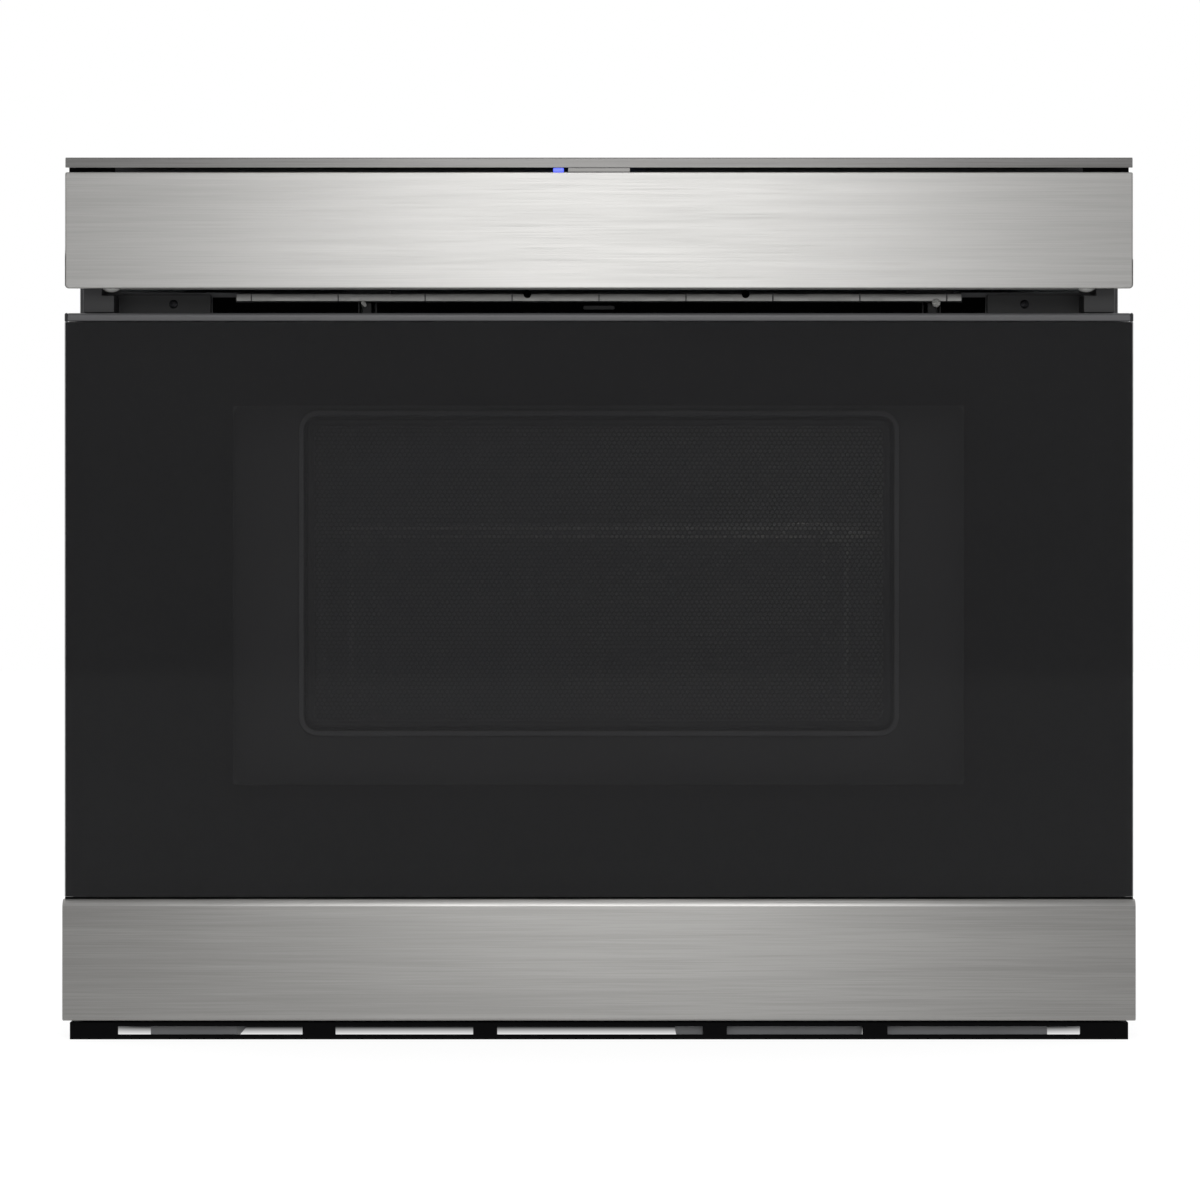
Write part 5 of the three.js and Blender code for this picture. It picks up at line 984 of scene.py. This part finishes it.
def recess(centre):
    """A closed cylinder along Y, from the recess's floor to a millimetre outside the panel."""
    return prism(circle(centre, SINK_RADIUS, 28), high[1] - SINK_MM, high[1] + 1)


mesh, work = merged_copy("back_panel")
work.to_mesh(mesh)
work.free()
sunk_panel = placed("back_panel_sunk", mesh)
cutter_mesh = closed_mesh("recess_cutter", merged([recess(centre) for centre in on_edge]))
cutter = placed("recess_cutter", cutter_mesh)
cut = sunk_panel.modifiers.new("recesses", "BOOLEAN")
cut.operation, cut.solver, cut.object = "DIFFERENCE", "EXACT", cutter
result = evaluated(sunk_panel)
sunk_panel.modifiers.clear()
sunk_panel.data = result
bpy.data.objects.remove(cutter)
bpy.data.meshes.remove(cutter_mesh)
shaded(result)
declared(sunk_panel, "chassis", ["back_panel"])
print("panel with", len(on_edge), "recesses:", len(result.polygons), "faces")

# %% The screws sunk in it
places = [((cx, high[1] - SINK_MM, cz), BACK_DIR) for cx, cz in on_edge]
size = {"radius": 3.3, "height": SINK_MM - 0.02}
screws("back_screws", places, "zinc_screw", "chassis", "galvanised", **size)

# %% [markdown]
# ## Stiffening ribs
# A large thin sheet drums unless it is stiffened, so shallow ribs are pressed into the wrapper.
# Each is a stack of round-ended outlines that draw in as they rise, as a punch with a radius
# leaves them.

# %% Pressed ribs
RIB_HALF = 9
RIB_ROUND = RIB_HALF - 1e-3  # just short of a whole half circle
RIB_RISE = 1.4
RIB_DRAFT = 0.8  # of the half width, how far the top is drawn in
RIB_STEPS = 6
RIB_START = 60
SIDE_RIB, TOP_RIB = 380, 260
RIB_MARGIN = 85
TOP_RIBS = (-180, -60, 60, 180)


def rib(length, start, along, across, out):
    """Round-ended outlines drawn in by the draft times 1 - cos t, up by the rise times sin t."""
    t = np.linspace(0, np.pi / 2, RIB_STEPS)
    insets = RIB_HALF * RIB_DRAFT * (1 - np.cos(t))
    rises = RIB_RISE * np.sin(t)
    directions = np.array([along, across, out], float)
    rings = []
    for inset, rise in zip(insets, rises):
        flat = rounded_outline((0, length), (-RIB_HALF, RIB_HALF), RIB_ROUND, inset)
        rings.append(np.column_stack([flat, np.full(len(flat), rise)]) @ directions + start)
    return skin(rings)


low, high = box_mm("outer_wrapper")
front, back_dir, up_dir = low[1] + RIB_START, (0, 1, 0), (0, 0, 1)
side_rows = np.linspace(low[2] + RIB_MARGIN, high[2] - RIB_MARGIN, 3)
ribs = [
    rib(SIDE_RIB, (x, front, z), back_dir, up_dir, (np.sign(x), 0, 0))
    for x in (low[0], high[0])
    for z in side_rows
]
ribs += [rib(TOP_RIB, (x, front, high[2]), back_dir, (1, 0, 0), up_dir) for x in TOP_RIBS]
make_piece("pressed_ribs", merged(ribs), "galvanised_sheet", "chassis", smooth=50)

# %% [markdown]
# ## The rolled lip
# The lip over the door is a rolled edge in eight lengths and two short ends. Each is a flat face
# whose upper and lower edges turn back in quarter circles, carried along X.

# %% Lip in lengths
LIP_LENGTHS = 8
LIP_PITCH = 49.8
LIP_SEAM = 0.8
LIP_ROUND = 0.9
LIP_Z = (419.2, 424.45)
LIP_FACE = -262.55
LIP_END = 207.9


def lip_length(x0, x1):
    """Two quarter circles in (y, z) with a straight face between them, the same at both ends."""
    t = np.linspace(-np.pi / 2, np.pi / 2, 14)
    centre = np.where(t < 0, LIP_Z[0] + LIP_ROUND, LIP_Z[1] - LIP_ROUND)
    profile = [LIP_FACE - LIP_ROUND * np.cos(t), centre + LIP_ROUND * np.sin(t)]
    return skin([np.column_stack([np.full(len(t), x), *profile]) for x in (x0, x1)])


inner_seams = (np.arange(LIP_LENGTHS + 1) - LIP_LENGTHS / 2) * LIP_PITCH
seams = [-LIP_END, *inner_seams, LIP_END]
lengths = [lip_length(a + LIP_SEAM / 2, b - LIP_SEAM / 2) for a, b in zip(seams, seams[1:])]
make_piece("rolled_lip", merged(lengths), "lip_steel", "chassis")

# %% [markdown]
# ## Small parts in the gap
# Between the fascia and the door the photograph shows a bright lip over a black line, two dark
# stops on the lip, a light bumper at each hook and a small dark block in the middle. The black
# line is a near-black strip on the frame, painted shade for the shaded frame under the lip, in
# three lengths that leave room for the hooks, with a taller pad past each end of the lip. The
# stops are of the same near-black: painted shade.

# %% Strip, stops and block
SLOT_HALF = 5.3
STRIP_MM = 0.9
STRIP_Z = (411.4, 419.4)
STRIP_ROUND = 0.3
PAD_X = (208.6, 221.8)
PAD_TOP = 422.3
FRAME_FRONT = -256.5
SENSOR_X, SENSOR_Z = (-9, 9), (415.3, 417.3)
SENSOR_MM = 2.6
STOP_X, STOP_Y, STOP_Z = (-41, 84), -262.9, 423.6

hook_boxes = [box_mm(f"latch_hook_{side}") for side in ("left", "right")]
hook_x = [(low[0] + high[0]) / 2 for low, high in hook_boxes]


def slab(x, y, z, radius):
    """A block with rounded corners seen from the front."""
    return prism(rounded_outline(x, z, radius), *y)


breaks = [-PAD_X[0], *[x + side * SLOT_HALF for x in hook_x for side in (-1, 1)], PAD_X[0]]
strip_y = (FRAME_FRONT - STRIP_MM, FRAME_FRONT - 0.02)
lengths = zip(breaks[::2], breaks[1::2])
painted_shade_slabs = [slab(length, strip_y, STRIP_Z, STRIP_ROUND) for length in lengths]
for side in (-1, 1):
    pad_x = sorted(side * x for x in PAD_X)
    painted_shade_slabs.append(slab(pad_x, strip_y, (STRIP_Z[0], PAD_TOP), STRIP_ROUND))
# A near-black strip where the frame lies in shade under the lip: painted shade.
make_piece("painted_shade_strip", merged(painted_shade_slabs), "painted_shade_black", "chassis")
sensor_y = (FRAME_FRONT - SENSOR_MM, FRAME_FRONT - STRIP_MM)
sensor = slab(SENSOR_X, sensor_y, SENSOR_Z, 0.8)
make_piece("sensor_block", sensor, "black_plastic", "chassis")
# The stops are near-black domes: painted shade.
stops = [screw_head((x, STOP_Y, STOP_Z), FRONT_DIR, radius=2.2, height=2.6) for x in STOP_X]
make_piece("lip_stops", merged(stops), "painted_shade_black", "chassis")

# %% Nylon bumpers on the hooks
BUMPER_FACE = -263.7
NECK_Z, NECK_RADIUS = 417.6, 1.0
HEAD_LEAN, HEAD_LIFT = 1.6, 1.0
BUMPERS = [(-1.2, 1.3), (1.4, 2.4)]  # how far each one leans, and its head's radius


def bumper(x, lean, radius):
    """A neck turned round Y from the hook to the lip's front, and a screw-like dome on its end."""
    outline = circle((x + lean, NECK_Z), NECK_RADIUS, 16)
    neck = prism(outline, hook_boxes[0][0][1], BUMPER_FACE)
    centre = (x + HEAD_LEAN * lean, BUMPER_FACE, NECK_Z + HEAD_LIFT)
    return merged([neck, screw_head(centre, FRONT_DIR, radius=radius, height=1.6)])


bumpers = [bumper(x, *sizes) for x, sizes in zip(hook_x, BUMPERS)]
make_piece("hook_bumpers", merged(bumpers), "white_nylon", "drawer")

# %% [markdown]
# ## Bushes, shelf ends and the door trim's ends
# Three small shapes finish the front's outline. The hinge bushes are domes of nylon, turned round
# the hinge's axis. The frame's shelf has turned-down ends that close the dark line beside the
# control glass; they are near-black, painted shade in that line. The door's upper trim ends in a
# black moulding whose outer corner is round.

# %% Domed bushes
BUSH_DOME = 6.3
BUSH_END = 4.7


def bush(node):
    """Circles round the hinge's axis, their radius from the end's to the dome's as sin(pi u)."""
    low, high = box_mm(node)
    u = np.linspace(0, 1, 13)
    radius = BUSH_END + (BUSH_DOME - BUSH_END) * np.sin(np.pi * u) ** 0.8
    axis = (low[1:] + high[1:]) / 2
    along = low[0] + (high[0] - low[0]) * u
    return skin([np.insert(circle(axis, r, 48), 0, x, axis=1) for x, r in zip(along, radius)])


for side in ("left", "right"):
    node = f"hinge_bush_{side}"
    dome = bush(node)
    make_piece(f"domed_bush_{side}", dome, "white_nylon", body_of[node], [node])

# %% The shelf's turned-down ends
SHELF_X = (274.4, 300.4)
SHELF_Y = (-288.0, -281.6)
SHELF_Z = (489.4, 497.3)
SHELF_STEEL = 1.5


def plain_box(x, y, z):
    """A box as two rectangles of four points, one above the other."""
    flat = np.array([(x[0], y[0]), (x[1], y[0]), (x[1], y[1]), (x[0], y[1])], float)
    return skin([lying(flat, level) for level in z])


shelf_ends = []
fold = SHELF_Z[1] - SHELF_STEEL
for side in (-1, 1):
    x = sorted(side * value for value in SHELF_X)
    shelf_ends.append(plain_box(x, SHELF_Y, (fold, SHELF_Z[1])))
    shelf_ends.append(plain_box(x, (SHELF_Y[0], SHELF_Y[0] + SHELF_STEEL), (SHELF_Z[0], fold)))
# The shelf ends are near-black: painted shade in the dark line.
make_piece("shelf_ends", merged(shelf_ends), "vent_black_and_painted_shade", "chassis")

# %% The door trim's ends
END_GAP = 0.05
END_DEPTH = 6

low, high = box_mm("door_top_trim")
pane_high = box_mm("door_outer_glass")[1]


def trim_end(side):
    """An upright outline with a quarter circle at its outer upper corner."""
    reach = pane_high[0] - high[0] - END_GAP
    t = np.linspace(0, np.pi / 2, 9)
    arc = np.column_stack([reach * np.cos(t), high[2] - reach + reach * np.sin(t)])
    outline = np.concatenate([[(0, low[2]), (reach, low[2])], arc])
    outline[:, 0] = side * (outline[:, 0] + high[0] + END_GAP)
    return prism(outline, low[1], low[1] + END_DEPTH)


trim_ends = merged([trim_end(-1), trim_end(1)])
make_piece("door_trim_ends", trim_ends, "black_plastic", "drawer")

# %% [markdown]
# ## Printed keys on the control glass
# The panel tips forward to show a row of touch keys on its upper face. They are a thin white
# print: outlined pads with plain digits and simple signs, and a clock in lit digits. Digits are
# text turned into a mesh; the pads are thin frames between two rounded rectangles.


# %% Flat prints on the glass
LEGEND_LIFT = 0.02
LEGEND_MM = 0.06

low, high = box_mm("control_glass")
key_level = high[2] + LEGEND_LIFT
key_middle = (low[1] + high[1]) / 2


def pad(centre, width, depth, radius=2.0, line=0.5):
    """A thin frame lying flat: the same outline at two insets and two levels, joined round."""
    x = (centre[0] - width / 2, centre[0] + width / 2)
    y = (centre[1] - depth / 2, centre[1] + depth / 2)
    rings = []
    for inset, level in ((0, 0), (0, 1), (line, 1), (line, 0)):
        outline = rounded_outline(x, y, radius, inset)
        rings.append(lying(outline, key_level + level * LEGEND_MM))
    return skin(rings, True)


def lettering(text, centre, size_mm):
    """A line of text as points and faces: Blender's own font, filled flat, centred on a point."""
    curve = bpy.data.curves.new("legend_text", "FONT")
    curve.body, curve.size = text, size_mm
    curve.align_x, curve.align_y = "CENTER", "CENTER"
    curve.resolution_u = 4
    holder = placed("legend_text", curve)
    mesh = evaluated(holder)
    points = np.empty(len(mesh.vertices) * 3)
    mesh.vertices.foreach_get("co", points)
    faces = [list(polygon.vertices) for polygon in mesh.polygons]
    bpy.data.objects.remove(holder)
    bpy.data.curves.remove(curve)
    bpy.data.meshes.remove(mesh)
    points = points.reshape(-1, 3) + (centre[0], centre[1], key_level + LEGEND_MM)
    return points, faces


# %% Lay out the keys
KEY_PITCH = 21
KEY_ROWS = (9.5, -9.5)
DIGIT_START = 108
DIGIT_PAD = (17, 15)
DIGIT_MM, SIGN_MM, CLOCK_MM = 8, 9, 19
SIGN_START, SIGN_PITCH = -220, 26
SIGN_PAD = (22, 22, 11)
CLOCK_PAD = (96, 30, 3, 0.4)

prints = []
for index, digit in enumerate("1234567890"):
    centre = (DIGIT_START + (index % 5) * KEY_PITCH, key_middle + KEY_ROWS[index // 5])
    prints += [pad(centre, *DIGIT_PAD), lettering(digit, centre, DIGIT_MM)]
for index, sign in enumerate("+-<>=#"):
    centre = (SIGN_START + index * SIGN_PITCH, key_middle)
    prints += [pad(centre, *SIGN_PAD), lettering(sign, centre, SIGN_MM)]
prints.append(pad((0, key_middle), *CLOCK_PAD))
make_piece("key_print", merged(prints), "white_legend_print", "control_panel")
clock = lettering("12:00", (0, key_middle), CLOCK_MM)
make_piece("clock_digits", clock, "lit_digits", "control_panel")

# %% [markdown]
# ## The fan at the back
# The cooling fan shows through the slots of the back panel. Its blades are twisted: each is a
# sheet in two parameters, the radius and the chord, whose pitch falls from hub to tip, as on
# every axial fan.

# %% Twisted blades
HUB_RADIUS, TIP_RADIUS = 15, 38
HUB_PITCH, TIP_PITCH = 42, 24  # degrees
HUB_CHORD, TIP_CHORD = 10.5, 13.5
DEPTH_SHARE, DEPTH_LIMIT = 0.62, 6
BLADES = 7
BLADE_MM = 1.2
CAMBER = 1.2

low, high = box_mm("cooling_fan")
middle = (low + high) / 2


def blade(turn):
    """A sheet over radius and chord c: pitch falls from hub to tip, camber goes as 1 - c^2."""
    radii = np.linspace(HUB_RADIUS - 1, TIP_RADIUS, 8)
    r, c = np.meshgrid(radii, np.linspace(-1, 1, 7), indexing="ij")
    share = (r - r.min()) / np.ptp(r)
    pitch = np.radians(HUB_PITCH - (HUB_PITCH - TIP_PITCH) * share)
    chord = HUB_CHORD + (TIP_CHORD - HUB_CHORD) * share
    angle = turn + chord * c * np.cos(pitch) / r
    depth = chord * c * np.sin(pitch) * DEPTH_SHARE + CAMBER * (1 - c**2)
    depth = np.clip(depth, -DEPTH_LIMIT, DEPTH_LIMIT)
    sheet = np.stack([r * np.cos(angle), depth, r * np.sin(angle)], -1)
    offset = np.array([0, BLADE_MM / 2, 0])
    return skin(np.concatenate([sheet + offset, (sheet - offset)[:, ::-1]], 1) + middle)


def hub():
    """A shallow cup: a profile of radius and depth turned round the fan's axis."""
    width = high[1] - low[1]
    profile = [(4, 0.0), (HUB_RADIUS - 2, 0.0), (HUB_RADIUS, 2.0), (HUB_RADIUS, width)]
    return skin([upright(circle(middle[::2], r, 40), high[1] - d) for r, d in profile])


fan = merged([hub(), *[blade(2 * np.pi * i / BLADES) for i in range(BLADES)]])
make_piece("twisted_fan", fan, "black_plastic", "chassis_fan", ["cooling_fan"])

# %% [markdown]
# ## Studio
# The photograph stands on pure white. The floor is pale and catches a soft shadow; seen by the
# camera, by mirrors and through glass it is lifted to white, while for soft light it stays a
# plain pale floor. Under the base the lift fades out: a painted shadow that darkens towards the
# back and shows through the slots of the vent, over the floor's own soft shadow. The world is a
# white wall behind the object and a softer grey room behind the camera, which is what the steel
# and glass reflect; the camera itself sees white all round. One tall soft box over the camera
# gives
# the brushed steel its bright middle: it stays above what the door's glass mirrors to the camera.

# %% Floor
FLOOR_HALF = 12.0
LIFT = 0.84
# Where the painted shadow under the base begins and ends, and how it fades at the back and sides.
PAINTED_SHADOW_START, PAINTED_SHADOW_END = 0.030, 0.073  # metres behind the front, under the base
PAINTED_SHADOW_BACK = 0.02
PAINTED_SHADOW_SIDE = (0.285, 0.303)

floor_mesh = bpy.data.meshes.new("studio_floor")
signs = [(-1, -1), (1, -1), (1, 1), (-1, 1)]
corners = [(FLOOR_HALF * a, FLOOR_HALF * b, 0) for a, b in signs]
floor_mesh.from_pydata(corners, [], [(0, 1, 2, 3)])
floor = placed("studio_floor", floor_mesh)
floor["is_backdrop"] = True

paper = bpy.data.materials.new("pale_floor")
paper.use_nodes = True
tree = paper.node_tree
tree.nodes.clear()
rays = add(tree, "LightPath").outputs
seen = most(tree, rays["Is Camera Ray"], rays["Is Glossy Ray"])
seen = most(tree, seen, rays["Is Transmission Ray"])
matt = add(tree, "BsdfDiffuse", {"Color": linear("#e6e6e6")}).outputs[0]
faint = add(tree, "BsdfDiffuse", {"Color": linear("#969696")}).outputs[0]
place = add(tree, "SeparateXYZ", {"Vector": add(tree, "TexCoord").outputs["Object"]}).outputs
# A painted shadow: the white lift fades out under the base, darker towards the back.
behind = span(tree, place["Y"], 0.0, 1.0, front_y + PAINTED_SHADOW_START, front_y + PAINTED_SHADOW_END)
before_back = span(tree, place["Y"], 1.0, 0.0, -front_y - PAINTED_SHADOW_BACK, -front_y)
sideways = add(tree, "Math", {0: place["X"]}, operation="ABSOLUTE").outputs[0]
beside = span(tree, sideways, 1.0, 0.0, *PAINTED_SHADOW_SIDE)
painted_shadow_mask = times(tree, times(tree, behind, before_back), beside)
lift_less_painted_shadow = span(tree, painted_shadow_mask, LIFT, 0.0, 0.0, 1.0)
glow = add(tree, "Emission", {"Color": (1, 1, 1, 1), "Strength": lift_less_painted_shadow}).outputs[0]
lifted = add(tree, "AddShader", {0: faint, 1: glow}).outputs[0]
mixed = add(tree, "MixShader", {0: seen, 1: matt, 2: lifted}).outputs[0]
add(tree, "OutputMaterial", {"Surface": mixed})
floor_mesh.materials.append(paper)
print("floor", 2 * FLOOR_HALF, "m wide")

# %% World and lamps
BEHIND_CAMERA = 0.4
WALL = 1.0
HORIZON = 0.35

world = bpy.data.worlds.new("studio")
world.use_nodes = True
tree = world.node_tree
tree.nodes.clear()
direction = add(tree, "TexCoord").outputs["Generated"]
ahead = add(tree, "SeparateXYZ", {"Vector": direction}).outputs["Y"]
run = {"From Min": -HORIZON, "From Max": HORIZON, "To Min": BEHIND_CAMERA, "To Max": WALL}
ramp = add(tree, "MapRange", {"Value": ahead, **run}, interpolation_type="SMOOTHSTEP")
level = ramp.outputs["Result"]
shown = most(tree, add(tree, "LightPath").outputs["Is Camera Ray"], level)
background = add(tree, "Background", {"Color": (1, 1, 1, 1), "Strength": shown}).outputs[0]
add(tree, "OutputWorld", {"Surface": background})
bpy.context.scene.world = world


def soft_box(name, place, target, width, height, watts):
    """A rectangular lamp aimed at a target: its -Z axis along the line between them."""
    data = bpy.data.lights.new(name, "AREA")
    data.shape, data.size, data.size_y, data.energy = "RECTANGLE", width, height, watts
    lamp = placed(name, data)
    away = np.asarray(place, float) - np.asarray(target, float)
    away /= np.linalg.norm(away)
    lamp.location = place
    lamp.rotation_euler = (math.acos(away[2]), 0, math.atan2(away[0], -away[1]))
    lamp.visible_camera = False
    print(f"{name}: {watts} W over {width} x {height} m")


soft_box("tall_soft_box", (0, front_y - 2.4, 1.62), (0, front_y, 0.3), 0.7, 1.9, 20.0)

# %% The lamp in the oven
BULB_DROP = 0.03

low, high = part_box("oven_lamp")
bulb_data = bpy.data.lights.new("oven_bulb", "POINT")
bulb_data.energy, bulb_data.color, bulb_data.shadow_soft_size = 0.35, (1.0, 0.93, 0.82), 0.02
bulb = placed("oven_bulb", bulb_data)
bulb.visible_glossy = False
bulb.location = ((low.x + high.x) / 2, (low.y + high.y) / 2, low.z - BULB_DROP)
print("oven lamp at", [round(value, 3) for value in bulb.location])

# %% [markdown]
# ## The size of the dressed model
# The dressed model must keep the size of the solids. Both boxes are measured, and how far the
# dressed one has grown is printed.

# %% Measure the two boxes
dressed_box = [list(corner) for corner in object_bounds()]
growth = (np.array(dressed_box) - np.array(frame_box)) / MM
print("grown by, mm:", np.round(growth, 2).tolist())
